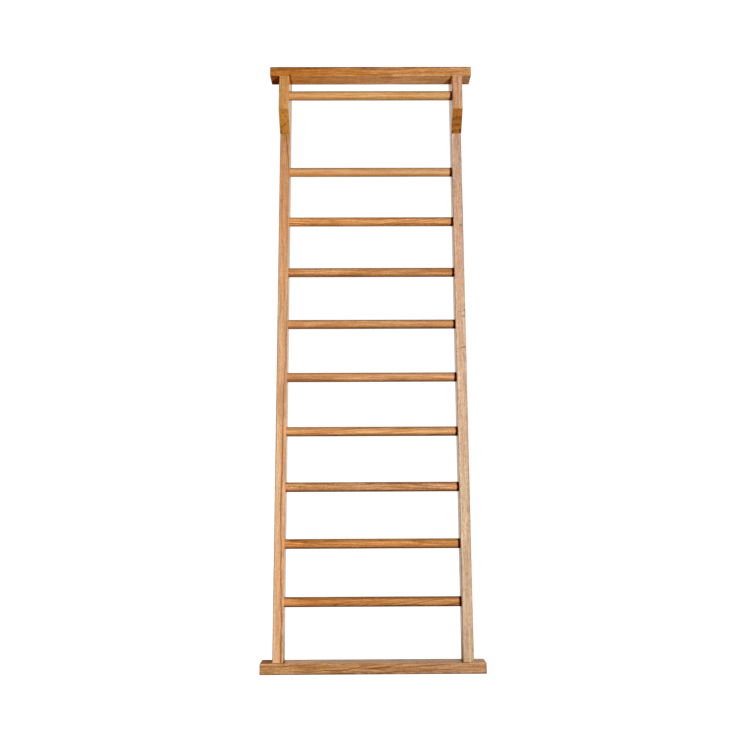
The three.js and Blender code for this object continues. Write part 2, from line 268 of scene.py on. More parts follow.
def cut(ob, cutters):
    """Takes the cutters out of ob and removes them."""
    col = bpy.data.collections.new("cutters")
    bpy.context.scene.collection.children.link(col)
    for c in cutters:
        for other in list(c.users_collection):
            other.objects.unlink(c)
        col.objects.link(c)
    mod = ob.modifiers.new("cut", "BOOLEAN")
    mod.operation = "DIFFERENCE"
    mod.operand_type = "COLLECTION"
    mod.collection = col
    mod.solver = "EXACT"
    bpy.context.view_layer.update()
    dg = bpy.context.evaluated_depsgraph_get()
    me = bpy.data.meshes.new_from_object(ob.evaluated_get(dg), preserve_all_data_layers=True, depsgraph=dg)
    ob.modifiers.clear()
    old = ob.data
    ob.data = me
    bpy.data.meshes.remove(old)
    for split in (False, True):
        # slivers go; where that would open a face with many corners, the face is split first
        bm = bmesh.new()
        bm.from_mesh(me)
        if split:
            bmesh.ops.triangulate(bm, faces=[f for f in bm.faces if len(f.verts) > 4])
        bmesh.ops.dissolve_degenerate(bm, dist=4e-6, edges=bm.edges[:])
        whole = all(e.is_manifold for e in bm.edges)
        if whole:
            bm.to_mesh(me)
        bm.free()
        if whole:
            break
    for c in cutters:
        m = c.data
        bpy.data.objects.remove(c)
        bpy.data.meshes.remove(m)
    bpy.data.collections.remove(col)
    return ob


def smooth(ob, angle=34.0):
    me = ob.data
    me.shade_smooth()
    me.set_sharp_from_angle(angle=math.radians(angle))
    mod = ob.modifiers.new("even_normals", "WEIGHTED_NORMAL")
    mod.mode = "FACE_AREA"
    mod.keep_sharp = True
    mod.weight = 80
    return ob


def settle(ob, node, material):
    ob.data.materials.clear()
    ob.data.materials.append(material)
    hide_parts(node)
    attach(ob, "root")
    return ob


# ---------------------------------------------------------------- node helpers
class Graph:
    def __init__(self, name):
        self.mat = bpy.data.materials.new(name)
        self.mat.use_nodes = True
        self.t = self.mat.node_tree
        self.t.nodes.clear()
        self.out = self.t.nodes.new("ShaderNodeOutputMaterial")
        self.bsdf = self.t.nodes.new("ShaderNodeBsdfPrincipled")
        self.t.links.new(self.bsdf.outputs[0], self.out.inputs[0])

    def put(self, sock, value):
        if isinstance(value, bpy.types.NodeSocket):
            self.t.links.new(value, sock)
        elif isinstance(value, (tuple, list)):
            v = tuple(value)
            if len(sock.default_value) == 4 and len(v) == 3:
                v = v + (1.0,)
            sock.default_value = v
        else:
            sock.default_value = value

    def m(self, op, a, b=None, c=None, clamp=False):
        n = self.t.nodes.new("ShaderNodeMath")
        n.operation = op
        n.use_clamp = clamp
        for i, v in enumerate((a, b, c)):
            if v is not None:
                self.put(n.inputs[i], v)
        return n.outputs[0]

    def v(self, op, a, b=None, scale=None):
        n = self.t.nodes.new("ShaderNodeVectorMath")
        n.operation = op
        self.put(n.inputs[0], a)
        if b is not None:
            self.put(n.inputs[1], b)
        if scale is not None:
            self.put(n.inputs["Scale"], scale)
        return n.outputs["Value"] if op in ("LENGTH", "DISTANCE", "DOT_PRODUCT") else n.outputs[0]

    def xyz(self, vec):
        n = self.t.nodes.new("ShaderNodeSeparateXYZ")
        self.put(n.inputs[0], vec)
        return n.outputs[0], n.outputs[1], n.outputs[2]

    def vec(self, x, y, z):
        n = self.t.nodes.new("ShaderNodeCombineXYZ")
        for i, v in enumerate((x, y, z)):
            self.put(n.inputs[i], v)
        return n.outputs[0]

    def noise(self, vec, detail=2.0, rough=0.5, lac=2.0, dims="3D", w=None, colour=False):
        n = self.t.nodes.new("ShaderNodeTexNoise")
        n.noise_dimensions = dims
        if dims == "1D":
            self.put(n.inputs["W"], w)
        else:
            self.put(n.inputs["Vector"], vec)
        n.inputs["Scale"].default_value = 1.0
        n.inputs["Detail"].default_value = detail
        n.inputs["Roughness"].default_value = rough
        n.inputs["Lacunarity"].default_value = lac
        return n.outputs["Color"] if colour else n.outputs[0]

    def ramp(self, fac, stops, interp="LINEAR"):
        n = self.t.nodes.new("ShaderNodeValToRGB")
        n.color_ramp.interpolation = interp
        els = n.color_ramp.elements
        while len(els) < len(stops):
            els.new(0.5)
        for e, (p, c) in zip(els, stops):
            e.position = p
            e.color = (c, c, c, 1.0) if not isinstance(c, tuple) else (*c, 1.0)
        self.put(n.inputs[0], fac)
        return n.outputs[0]

    def rng(self, x, a, b, c=0.0, d=1.0, smooth=True):
        n = self.t.nodes.new("ShaderNodeMapRange")
        n.interpolation_type = "SMOOTHSTEP" if smooth else "LINEAR"
        n.clamp = True
        for i, v in enumerate((x, a, b, c, d)):
            self.put(n.inputs[i], v)
        return n.outputs[0]

    def mix(self, fac, a, b, blend="MIX"):
        n = self.t.nodes.new("ShaderNodeMix")
        n.data_type = "RGBA"
        n.blend_type = blend
        n.clamp_factor = True
        self.put(n.inputs[0], fac)
        self.put(n.inputs[6], a)
        self.put(n.inputs[7], b)
        return n.outputs[2]

    def white(self, w):
        n = self.t.nodes.new("ShaderNodeTexWhiteNoise")
        n.noise_dimensions = "1D"
        self.put(n.inputs["W"], w)
        return n.outputs["Value"]

    def attr(self, name):
        n = self.t.nodes.new("ShaderNodeAttribute")
        n.attribute_name = name
        return n.outputs["Fac"]

    def coords(self, which="Object"):
        n = self.t.nodes.new("ShaderNodeTexCoord")
        return n.outputs[which]

    def bump(self, height, strength, distance):
        n = self.t.nodes.new("ShaderNodeBump")
        n.inputs["Strength"].default_value = strength
        n.inputs["Distance"].default_value = distance
        self.put(n.inputs["Height"], height)
        return n.outputs[0]


def lin(r, g, b):
    """An sRGB colour, 0 to 255, in linear light."""
    return tuple(((c / 255) / 12.92 if c / 255 <= 0.04045 else ((c / 255 + 0.055) / 1.055) ** 2.4) for c in (r, g, b))


def times(colour, by):
    return tuple(min(1.0, k * m) for k, m in zip(colour, by))


def wood(name, grain, centre, seed, light, mid, dark, pith=(55.0, 20.0), tilt=(0.0, 0.0), ring=5.0, warp=8.0, late=0.55,
         streak=0.6, drift=None, tone=(1, 1, 1), ends=None, length=2128.0, band=None, lines=(), marks=(), face_shading=(), shade_patches=(),
         gloss=0.40, pore=0.5, fleck=0.0, end_tint=(0.68, 0.54, 0.28), end_rings=0.5, fine=0.9, blotch=0.16, mottle=0.75, warp_z=1.0, short=1.6, fade=None, shine=0.42, coat=0.12,
         edge_mul=(1.10, 1.13, 1.16)):
    """Clear-lacquered hardwood. grain is the axis the fibres follow, centre the middle of the piece in mm; local a, b lie across the
    grain and c along it. Growth rings go round a pith beside the piece, so faces, edges and ends show the same rings."""
    light, mid, dark = times(light, tone), times(mid, tone), times(dark, tone)
    g = Graph(name)
    p = g.v("SUBTRACT", g.v("SCALE", g.coords(), scale=1000.0), centre)
    x, y, z = g.xyz(p)
    nx, ny, nz = g.xyz(g.coords("Normal"))
    if grain == "z":
        a, b, c, na = x, y, z, nz
    else:
        a, b, c, na = y, z, x, nx
    local = g.vec(a, b, c)
    off = (seed * 13.7 + 3.1, seed * 5.3 + 11.9, seed * 8.9 + 7.7)

    def field(sa, sc, detail=2.0, rough=0.5, base=local, shift=0.0, colour=False):
        q = g.v("ADD", g.v("MULTIPLY", base, (sa, sa, sc)), (off[0] + shift, off[1] + shift * 1.3, off[2] - shift))
        return g.noise(q, detail, rough, colour=colour)

    # the rings wander along the trunk
    w1 = g.v("SCALE", g.v("SUBTRACT", field(0.012, 0.0032 * warp_z, 1.5, colour=True), (0.5, 0.5, 0.5)), scale=2.0 * warp)
    w2 = g.v("SCALE", g.v("SUBTRACT", field(0.05, 0.012 * warp_z, 2.0, shift=5.0, colour=True), (0.5, 0.5, 0.5)), scale=0.42 * warp)
    q = g.v("ADD", g.v("ADD", local, g.v("MULTIPLY", w1, (1, 1, 0))), g.v("MULTIPLY", w2, (1, 1, 0)))
    qa, qb, qc = g.xyz(q)
    da = g.m("SUBTRACT", qa, g.m("MULTIPLY_ADD", c, tilt[0], pith[0]))
    db = g.m("SUBTRACT", qb, g.m("MULTIPLY_ADD", c, tilt[1], pith[1]))
    r = g.m("SQRT", g.m("ADD", g.m("MULTIPLY", da, da), g.m("MULTIPLY", db, db)))
    phase = g.m("ADD", g.m("DIVIDE", r, ring), g.m("MULTIPLY", g.noise(None, 2.0, dims="1D", w=g.m("MULTIPLY_ADD", r, 0.045, seed * 3.3)), 2.6))
    f = g.m("FRACT", phase)
    ring_tone = g.ramp(f, [(0.0, 0.05), (0.18, 0.0), (0.62, 0.32), (0.86, 0.9), (0.93, 1.0), (1.0, 0.1)])
    strong = g.rng(g.white(g.m("FLOOR", phase)), 0.0, 1.0, 0.25, 1.0, smooth=False)
    rings = g.m("MULTIPLY", ring_tone, strong)
    calm = g.rng(c, fade[0], fade[1], 1.0, fade[2]) if fade else 1.0
    rings = g.m("MULTIPLY", rings, calm)

    # fibres at four widths
    broad = field(0.034, 0.0012, 2.0, base=q, shift=21.0)
    mids = field(0.17, 0.0022 * short, 3.0, 0.6, base=q, shift=9.0)
    fines = field(0.75, 0.010 * short, 3.0, 0.65, base=q, shift=33.0)
    hair = field(2.1, 0.030, 2.0, 0.6, base=q, shift=47.0)
    cloud = field(0.10, 0.028, 3.0, 0.6, shift=55.0)
    pores = g.m("MULTIPLY", g.rng(hair, 0.585, 0.70), g.rng(f, 0.30, 0.62, 1.0, 0.25))

    col = g.mix(g.rng(mids, 0.40, 0.60), light, mid)
    if drift:
        col = g.mix(g.rng(broad, 0.38, 0.64), col, g.mix(g.rng(mids, 0.3, 0.7), times(drift, tone), mid))
    col = g.mix(g.m("MULTIPLY", rings, late), col, dark)
    col = g.mix(g.m("MULTIPLY", g.m("MULTIPLY", g.rng(mids, 0.60, 0.80), streak), calm), col, dark)
    shade = g.m("MULTIPLY", g.m("MULTIPLY", g.m("SUBTRACT", fines, 0.5), fine), g.m("MULTIPLY_ADD", calm, 0.6, 0.4))
    shade = g.m("ADD", shade, g.m("MULTIPLY_ADD", g.m("SUBTRACT", broad, 0.5), 0.35, 1.0))
    shade = g.m("ADD", shade, g.m("MULTIPLY", g.m("SUBTRACT", cloud, 0.5), 2.0 * blotch))
    col = g.v("SCALE", col, scale=shade)
    # small cloudy figure, some of it pinker, some yellower
    spots = g.v("SUBTRACT", field(0.17, 0.11, 2.0, 0.55, shift=93.0, colour=True), (0.5, 0.5, 0.5))
    patch = g.m("SUBTRACT", field(0.22, 0.11, 2.0, 0.6, shift=99.0), 0.5)
    spots = g.v("ADD", g.v("SCALE", spots, scale=0.4), g.v("SCALE", g.vec(patch, patch, patch), scale=0.8))
    col = g.v("MULTIPLY", col, g.v("ADD", (1.0, 1.0, 1.0), g.v("MULTIPLY", spots, (mottle, mottle * 1.15, mottle * 1.4))))
    pore_dark = g.m("MULTIPLY", pores, pore)
    col = g.mix(pore_dark, col, g.mix(0.55, dark, (0.03, 0.012, 0.005)))
    if fleck:
        fl = g.rng(field(0.35, 0.05, 1.0, base=q, shift=61.0), 0.64, 0.74)
        col = g.mix(g.m("MULTIPLY", fl, fleck), col, times(light, (1.25, 1.25, 1.25)))
    if ends:
        # one end of a board is often paler or redder than the other; on the rungs and the top bar this drift is painted
        # light, paler at the left end against the lamp at the right
        along = g.rng(c, -length / 2, length / 2, smooth=False)
        stops = [(i / (len(ends) - 1), tuple(k / 2 for k in e)) for i, e in enumerate(ends)]
        col = g.v("SCALE", g.v("MULTIPLY", col, g.ramp(along, stops, "EASE")), scale=2.0)
    if band:
        # a redder stripe down the middle of a board
        at_a, wide, tint, lo, hi = band
        near = g.rng(g.m("ABSOLUTE", g.m("SUBTRACT", qa, at_a)), 0.0, wide, 1.0, 0.0)
        near = g.m("MULTIPLY", near, g.rng(c, lo, hi))
        col = g.mix(near, col, g.v("MULTIPLY", col, tint))
    for path, thick, tint, depth, *upright in lines:
        # a dark vein that follows the grain: path is (along, across, strength); across is b if upright, otherwise a
        u, v = (b, a) if upright else (a, b)
        c0, c1 = path[0][0], path[-1][0]
        t = g.rng(c, c0, c1, smooth=False)
        place = g.ramp(t, [((k - c0) / (c1 - c0), (j + 50.0) / 100.0) for k, j, w in path], "EASE")
        power = g.ramp(t, [((k - c0) / (c1 - c0), w) for k, j, w in path], "EASE")
        gap = g.m("SUBTRACT", u, g.m("MULTIPLY_ADD", place, 100.0, -50.0))
        gap = g.m("ADD", gap, g.m("MULTIPLY", g.m("SUBTRACT", cloud, 0.5), 2.2 * thick))
        on = g.rng(g.m("ABSOLUTE", gap), 0.25 * thick, thick, 1.0, 0.0)
        on = g.m("MULTIPLY", g.m("MULTIPLY", on, power), g.rng(v, depth[0], depth[1], 1.0, 0.0))
        on = g.m("MULTIPLY", on, g.rng(fines, 0.25, 0.55, 0.6, 1.0))
        col = g.mix(on, col, g.v("MULTIPLY", col, tint))
    # spots and streaks: knots and stains of the wood, and also painted shade in creases and along edges and painted
    # highlights and sheen, listed with each piece
    for (ma, mb, mc), (sa, sb, sc), (kac, kca), tint, power in marks:
        wander = g.m("MULTIPLY", g.m("SUBTRACT", cloud, 0.5), 1.6)
        ga, gc = g.m("SUBTRACT", a, ma), g.m("SUBTRACT", c, mc)
        ua = g.m("DIVIDE", g.m("SUBTRACT", ga, g.m("MULTIPLY", gc, kac)), sa)
        uc = g.m("DIVIDE", g.m("SUBTRACT", gc, g.m("MULTIPLY", ga, kca)), sc)
        ub = g.m("DIVIDE", g.m("SUBTRACT", b, mb), sb)
        d = g.m("ADD", g.v("LENGTH", g.vec(ua, ub, uc)), wander)
        col = g.mix(g.m("MULTIPLY", g.rng(d, 0.35, 1.0, 1.0, 0.0), power), col, g.v("MULTIPLY", col, tint))

    # cut ends soak up more finish
    end = g.rng(g.m("ABSOLUTE", na), 0.25, 0.62)
    soaked = g.v("MULTIPLY", col, end_tint)
    soaked = g.mix(g.m("MULTIPLY", rings, end_rings), soaked, g.v("MULTIPLY", soaked, (0.50, 0.40, 0.30)))
    col = g.mix(end, col, soaked)
    # painted light and shade by facing: a side of a piece made lighter or darker for how the light falls on it, such as
    # inner faces, undersides, end faces and rung rims
    for axis, lo, hi, tint in face_shading:
        facing = {"x": nx, "y": ny, "z": nz}[axis]
        col = g.mix(g.rng(facing, lo, hi), col, g.v("MULTIPLY", col, tint))
    # painted shade on part of one side: cast and contact shadows by joints and ends, and tint changes along the top
    # beam's underside; these places are also made rougher
    dull = None
    for axis, lo, hi, c0, c1, tint in shade_patches:
        facing = {"x": nx, "y": ny, "z": nz}[axis]
        on = g.m("MULTIPLY", g.rng(facing, lo, hi), g.rng(g.m("MULTIPLY_ADD", g.m("SUBTRACT", cloud, 0.5), 3.0, c), c0, c1))
        col = g.mix(on, col, g.v("MULTIPLY", col, tint))
        dull = on if dull is None else g.m("MAXIMUM", dull, on)
    # handled edges get their own tint: paler, like worn wood, by default; the darker edges of the posts and head blocks
    # are painted shade and the bottom beam's bright edges a painted highlight
    edge = g.m("MULTIPLY", g.attr("edge"), g.rng(field(0.10, 0.012, 2.0, shift=71.0), 0.30, 0.62, 0.35, 1.0))
    col = g.mix(edge, col, g.v("MULTIPLY", col, edge_mul))
    g.put(g.bsdf.inputs["Base Color"], col)

    rough = g.m("ADD", g.m("MULTIPLY_ADD", fines, 0.16, gloss - 0.08), g.m("MULTIPLY", pores, 0.14))
    rough = g.m("ADD", rough, g.m("MULTIPLY", end, 0.12))
    if dull is not None:
        rough = g.m("ADD", rough, g.m("MULTIPLY", dull, 0.38))
    smudge = field(0.018, 0.010, 3.0, 0.6, shift=83.0)
    rough = g.m("ADD", rough, g.m("MULTIPLY", g.m("SUBTRACT", smudge, 0.5), 0.16), clamp=True)
    g.put(g.bsdf.inputs["Roughness"], rough)
    height = g.m("ADD", g.m("MULTIPLY", fines, 0.35), g.m("MULTIPLY", rings, 0.25))
    height = g.m("SUBTRACT", height, g.m("MULTIPLY", pores, 0.9))
    g.put(g.bsdf.inputs["Normal"], g.bump(height, 0.35, 0.00022))
    g.bsdf.inputs["Specular IOR Level"].default_value = shine
    g.bsdf.inputs["Coat Weight"].default_value = coat
    g.bsdf.inputs["Coat Roughness"].default_value = 0.25
    return g.mat


def metal(name, tone, seed, rough=0.34):
    """Zinc-plated steel: a soft mottled bloom, fine rolling scratches, and dull spots."""
    g = Graph(name)
    p = g.v("ADD", g.v("SCALE", g.coords(), scale=1000.0), (seed * 9.1, seed * 4.7, seed * 2.3))
    bloom = g.noise(g.v("MULTIPLY", p, (0.35, 0.35, 0.35)), 4.0, 0.6)
    scratch = g.noise(g.v("MULTIPLY", p, (2.4, 2.4, 0.18)), 3.0, 0.6)
    spots = g.rng(g.noise(g.v("MULTIPLY", p, (1.3, 1.3, 1.3)), 3.0, 0.6), 0.60, 0.72)
    col = g.mix(g.rng(bloom, 0.35, 0.65), tone, tuple(k * 0.74 for k in tone))
    col = g.mix(g.m("MULTIPLY", spots, 0.45), col, (0.30, 0.27, 0.22))
    col = g.mix(g.m("MULTIPLY", g.rng(scratch, 0.62, 0.8), 0.35), col, tuple(min(1.0, k * 1.3) for k in tone))
    g.put(g.bsdf.inputs["Base Color"], col)
    g.bsdf.inputs["Metallic"].default_value = 1.0
    rr = g.m("ADD", g.m("MULTIPLY_ADD", bloom, 0.24, rough - 0.12), g.m("MULTIPLY", spots, 0.16))
    g.put(g.bsdf.inputs["Roughness"], rr)
    g.put(g.bsdf.inputs["Normal"], g.bump(g.m("ADD", scratch, g.m("MULTIPLY", bloom, 0.6)), 0.22, 0.00008))
    return g.mat


# ---------------------------------------------------------------- the wooden pieces
def socket_profile(r, depth, chamfer=0.9):
    return [(0, -depth), (r, -depth), (r, -chamfer), (r + chamfer, 0.0), (r + chamfer + 2.5, 2.5), (0, 2.5)]


def screw_hole(d, head, length, above):
    cone = (head - d) / 2
    r, h = d / 2 + 0.3, head / 2 + 0.3
    return [(0, -length - 0.3), (r, -length - 0.3), (r, -cone - 0.3), (h, -0.9), (h, above), (0, above)]


def pin_hole(r, z0, z1):
    return [(0, z0), (r, z0), (r, z1), (0, z1)]


def oval(w, d, r, arc=5):
    return [(u, v) for u, v, e in rounded(w, d, r, arc)]


def post(word, sgn, material, seed):
    x = sgn * POST_X
    ob, atlas = timber(f"post_{word}_wood", "z", POST_T, POST_D, POST_BASE, HEIGHT, 4.0, seed, 3, 722.0)
    ob.data.transform(Matrix.Translation(Vector((x, POST_Y, 0)) * MM))
    tools = []
    inward = "-x" if sgn > 0 else "x"
    inner = x - sgn * POST_T / 2
    side = atlas.side

    def turned(profile, place, n=24, w=30, h=12):
        tools.append(lathe("tool", profile, n, place, atlas.take(w, h), side))

    for i in range(9):
        turned(socket_profile(RUNG_R + 0.35, SOCKET), at(inner, POST_Y, rung_z(i), inward), 48, 52, 20)
        if (i % 2 == 0) == (sgn < 0):
            turned(screw_hole(4.5, 9, 46, 3), at(sgn * LOCK_X, WALL_Y - 0.5, rung_z(i), "y"), 24)
    turned(pin_hole(4.3, POST_BASE - 5, 112), at(x, 14, 0))
    turned(pin_hole(7.3, 14 - 11.3, WALL_Y + 5), at(x, 0, 88, "y"))
    turned(pin_hole(5.3, POST_BASE - 5, 66.3), at(x, -12, 0))
    turned(pin_hole(4.3, POST_FRONT_Y - 5, WALL_Y + 5), at(x, 0, 2147, "y"))
    turned(pin_hole(8.5, WALL_Y - 10.3, WALL_Y + 5), at(x, 0, 2147, "y"), 32)
    for z in BLOCK_SCREW_Z:
        turned(screw_hole(6, 12, 105, 3), at(x, WALL_Y - 0.5, z, "y"), 28)
    for z in PLATE_Z:
        tools.append(prism("tool", oval(26.6, 74.6, 6.3), -2.8, 5, at(x, WALL_Y, z, "y"), atlas.take(30, 40), side))
        tools.append(prism("tool", oval(16, 34, 7.9), -16, -1, at(x, WALL_Y, z + 1, "y"), atlas.take(30, 40), side))
        for dz in (-28, 28):
            turned(pin_hole(2.3, -31, -1), at(x, WALL_Y, z + dz, "y"), 16)
    cut(ob, tools)
    smooth(ob)
    return settle(ob, f"post_{word}", material)


def head_block(word, sgn, material, seed):
    """The forward block: its front corners eased like the post's, the slope sawn and lightly sanded."""
    x = sgn * POST_X
    out = [(HEAD_FRONT_Y, SLOPE_FRONT_Z), (HEAD_BACK_Y - TOE, SLOPE_BACK_Z), (HEAD_BACK_Y, SLOPE_BACK_Z), (HEAD_BACK_Y, HEAD_TOP), (HEAD_FRONT_Y, HEAD_TOP)]
    bm = bmesh.new()
    edge = bm.verts.layers.float.new("edge")
    lo = [bm.verts.new(Vector((x - POST_T / 2, y, z)) * MM) for y, z in out]
    hi = [bm.verts.new(Vector((x + POST_T / 2, y, z)) * MM) for y, z in out]
    bm.faces.new(lo)
    bm.faces.new(hi[::-1])
    n = len(out)
    for i in range(n):
        j = (i + 1) % n
        bm.faces.new((lo[i], hi[i], hi[j], lo[j]))
    bmesh.ops.recalc_face_normals(bm, faces=bm.faces[:])
    weight = bm.edges.layers.float.new("bevel_weight_edge")
    for e in bm.edges:
        a, b = (v.co / MM for v in e.verts)
        front = abs(a.y - HEAD_FRONT_Y) < 0.01 and abs(b.y - HEAD_FRONT_Y) < 0.01
        back = abs(a.y - HEAD_BACK_Y) < 0.01 and abs(b.y - HEAD_BACK_Y) < 0.01
        top = abs(a.z - HEAD_TOP) < 0.01 and abs(b.z - HEAD_TOP) < 0.01
        e[weight] = 0.14 if (back or top) else 1.0 if front and abs(a.z - b.z) > 1 else 0.5
    me = bpy.data.meshes.new("block")
    bm.to_mesh(me)
    bm.free()
    ob = bpy.data.objects.new(f"head_block_{word}_wood", me)
    bpy.context.scene.collection.objects.link(ob)
    mod = ob.modifiers.new("ease", "BEVEL")
    mod.width = 4.0 * MM
    mod.segments = 5
    mod.limit_method = "WEIGHT"
    mod.use_clamp_overlap = True
    bpy.context.view_layer.update()
    dg = bpy.context.evaluated_depsgraph_get()
    me = bpy.data.meshes.new_from_object(ob.evaluated_get(dg), depsgraph=dg)
    ob.modifiers.clear()
    ob.data = me
    bm = bmesh.new()
    bm.from_mesh(me)
    edge = bm.verts.layers.float.get("edge") or bm.verts.layers.float.new("edge")
    layer = bm.loops.layers.uv.new(UV)
    for v in bm.verts:
        near = sum(1 for f in v.link_faces if f.calc_area() < 40 * MM * MM)
        v[edge] = min(1.0, near / 3.0)
    # each face into its own part of the map, by the way it looks
    side = 330.0
    for f in bm.faces:
        nx, ny, nz = f.normal
        for lp in f.loops:
            c = lp.vert.co / MM
            u, v, w = c.x - x, c.y - HEAD_FRONT_Y, c.z - SLOPE_BACK_Z
            if abs(nx) >= abs(ny) and abs(nx) >= abs(nz):
                uv = (6 + v, 6 + w) if nx > 0 else (84 + v, 6 + w)
            elif ny < -0.72:
                uv = (185 + u, 6 + w)
            elif ny > 0.5:
                uv = (230 + u, 6 + w)
            elif nz > 0:
                uv = (26 + u, 220 + v)
            else:
                uv = (80 + u, 220 + math.hypot(v, w - 68) * 1.0)
            lp[layer].uv = (uv[0] / side, uv[1] / side)
    bm.to_mesh(me)
    bm.free()
    atlas = Atlas(side)
    atlas.spare_area(262, 6)
    tools = []
    inner = x - sgn * POST_T / 2

    def turned(profile, place, n=24, w=28, h=12):
        tools.append(lathe("tool", profile, n, place, atlas.take(w, h), side))

    turned(socket_profile(RUNG_R + 0.35, SOCKET), at(inner, TOP_BAR_Y, TOP_BAR_Z, "-x" if sgn > 0 else "x"), 48, 52, 20)
    turned(pin_hole(5.3, HEAD_TOP - 22.3, HEAD_TOP + 5), at(x, -83, 0))
    turned(screw_hole(5, 10, 66, 5), at(sgn * LOCK_X, TOP_BAR_Y, HEAD_TOP - 0.5))
    for z in BLOCK_SCREW_Z:
        turned(screw_hole(6, 12, 105, 3), at(x, WALL_Y - 0.5, z, "y"), 28)
    cut(ob, tools)
    smooth(ob)
    return settle(ob, f"head_block_{word}", material)


def beams(foot_mat, top_mat):
    foot, atlas = timber("bottom_beam_wood", "x", BEAM_D, BEAM_H, -FOOT_L / 2, FOOT_L / 2, 3.0, 11, 2, 470.0)
    foot.data.transform(Matrix.Translation(Vector((0, 0, BEAM_H / 2)) * MM))
    tools = []
    for s in (-1, 1):
        x = s * POST_X
        for prof, y, n in ((pin_hole(4.3, -5, BEAM_H + 5), 14, 24), (pin_hole(8.5, -5, 13.3), 14, 32), (pin_hole(5.3, 15.7, BEAM_H + 5), -12, 24)):
            tools.append(lathe("tool", prof, n, at(x, y, 0), atlas.take(22, 12), atlas.side))
    cut(foot, tools)
    smooth(foot)
    settle(foot, "bottom_beam", foot_mat)

    top, atlas = timber("top_beam_wood", "x", TOP_BEAM_D, BEAM_H, -TOP_L / 2, TOP_L / 2, 3.0, 12, 2, 470.0)
    top.data.transform(Matrix.Translation(Vector((0, TOP_BEAM_Y, TOP_BEAM_Z + BEAM_H / 2)) * MM))
    tools = []
    for s in (-1, 1):
        x = s * POST_X
        tools.append(lathe("tool", pin_hole(4.3, -75, POST_FRONT_Y + 5), 24, at(x, 0, 2147, "y"), atlas.take(22, 12), atlas.side))
        tools.append(lathe("tool", pin_hole(7.3, TOP_BEAM_Z - 5, 2158.3), 32, at(x, -61, 0), atlas.take(22, 12), atlas.side))
        tools.append(lathe("tool", pin_hole(5.3, TOP_BEAM_Z - 5, 2149.1), 24, at(x, -83, 0), atlas.take(22, 12), atlas.side))
    cut(top, tools)
    smooth(top)
    settle(top, "top_beam", top_mat)


def round_bar(name, node, y, z, seed, material, locks):
    """A turned bar: very slightly out of round, with a chamfer at each glued end."""
    bm = bmesh.new()
    layer = bm.loops.layers.uv.new(UV)
    edge = bm.verts.layers.float.new("edge")
    side, n, strips = 340.0, 48, 2
    half = RUNG_L / 2
    steps = 44
    ss = [-half, -half + 0.5, -half + 1.2] + [-half + RUNG_L * k / steps for k in range(1, steps)] + [half - 1.2, half - 0.5, half]
    cutback = {0: 1.2, 1: 0.6, 2: 0.0}
    rings = []
    for k, s in enumerate(ss):
        back = cutback.get(min(k, len(ss) - 1 - k), 0.0)
        ring = []
        for i in range(n):
            a = 2 * math.pi * i / n
            ca, sa = math.cos(a), math.sin(a)
            r = RUNG_R - 0.10 - back
            r += 0.07 * mnoise.noise(Vector((ca * 0.8 + seed, sa * 0.8, s * 0.006))) + 0.03 * mnoise.noise(Vector((ca * 2 + seed, sa * 2, s * 0.03)))
            vert = bm.verts.new(Vector((s, y + r * ca, z + r * sa)) * MM)
            vert[edge] = 1.0 if back else 0.0
            ring.append(vert)
        rings.append(ring)
    run = RUNG_L / strips
    girth = 2 * math.pi * RUNG_R
    for k in range(len(ss) - 1):
        mid = (ss[k] + ss[k + 1]) / 2 + half
        strip = min(strips - 1, int(mid / run))
        ox = 4 + strip * (girth + 8)
        for i in range(n):
            j = (i + 1) % n
            f = bm.faces.new((rings[k][i], rings[k][j], rings[k + 1][j], rings[k + 1][i]))
            sa, sb = ss[k] + half - strip * run, ss[k + 1] + half - strip * run
            for lp, (qi, t) in zip(f.loops, ((i, sa), (i + 1, sa), (i + 1, sb), (i, sb))):
                lp[layer].uv = ((ox + girth * qi / n) / side, (4 + t) / side)
    atlas = Atlas(side)
    atlas.spare_area(4 + strips * (girth + 8), 4)
    for ring in (rings[0], rings[-1]):
        f = bm.faces.new(ring)
        x0, y0, x1, y1 = atlas.take(34, 34)
        for lp in f.loops:
            c = lp.vert.co / MM
            lp[layer].uv = ((x0 + 17 + c.y - y) / side, (y0 + 17 + c.z - z) / side)
    ob = new_object(name, bm)
    tools = []
    for profile, place in locks:
        tools.append(lathe("tool", profile, 20, place, atlas.take(34, 14), side))
    cut(ob, tools)
    smooth(ob)
    return settle(ob, node, material)
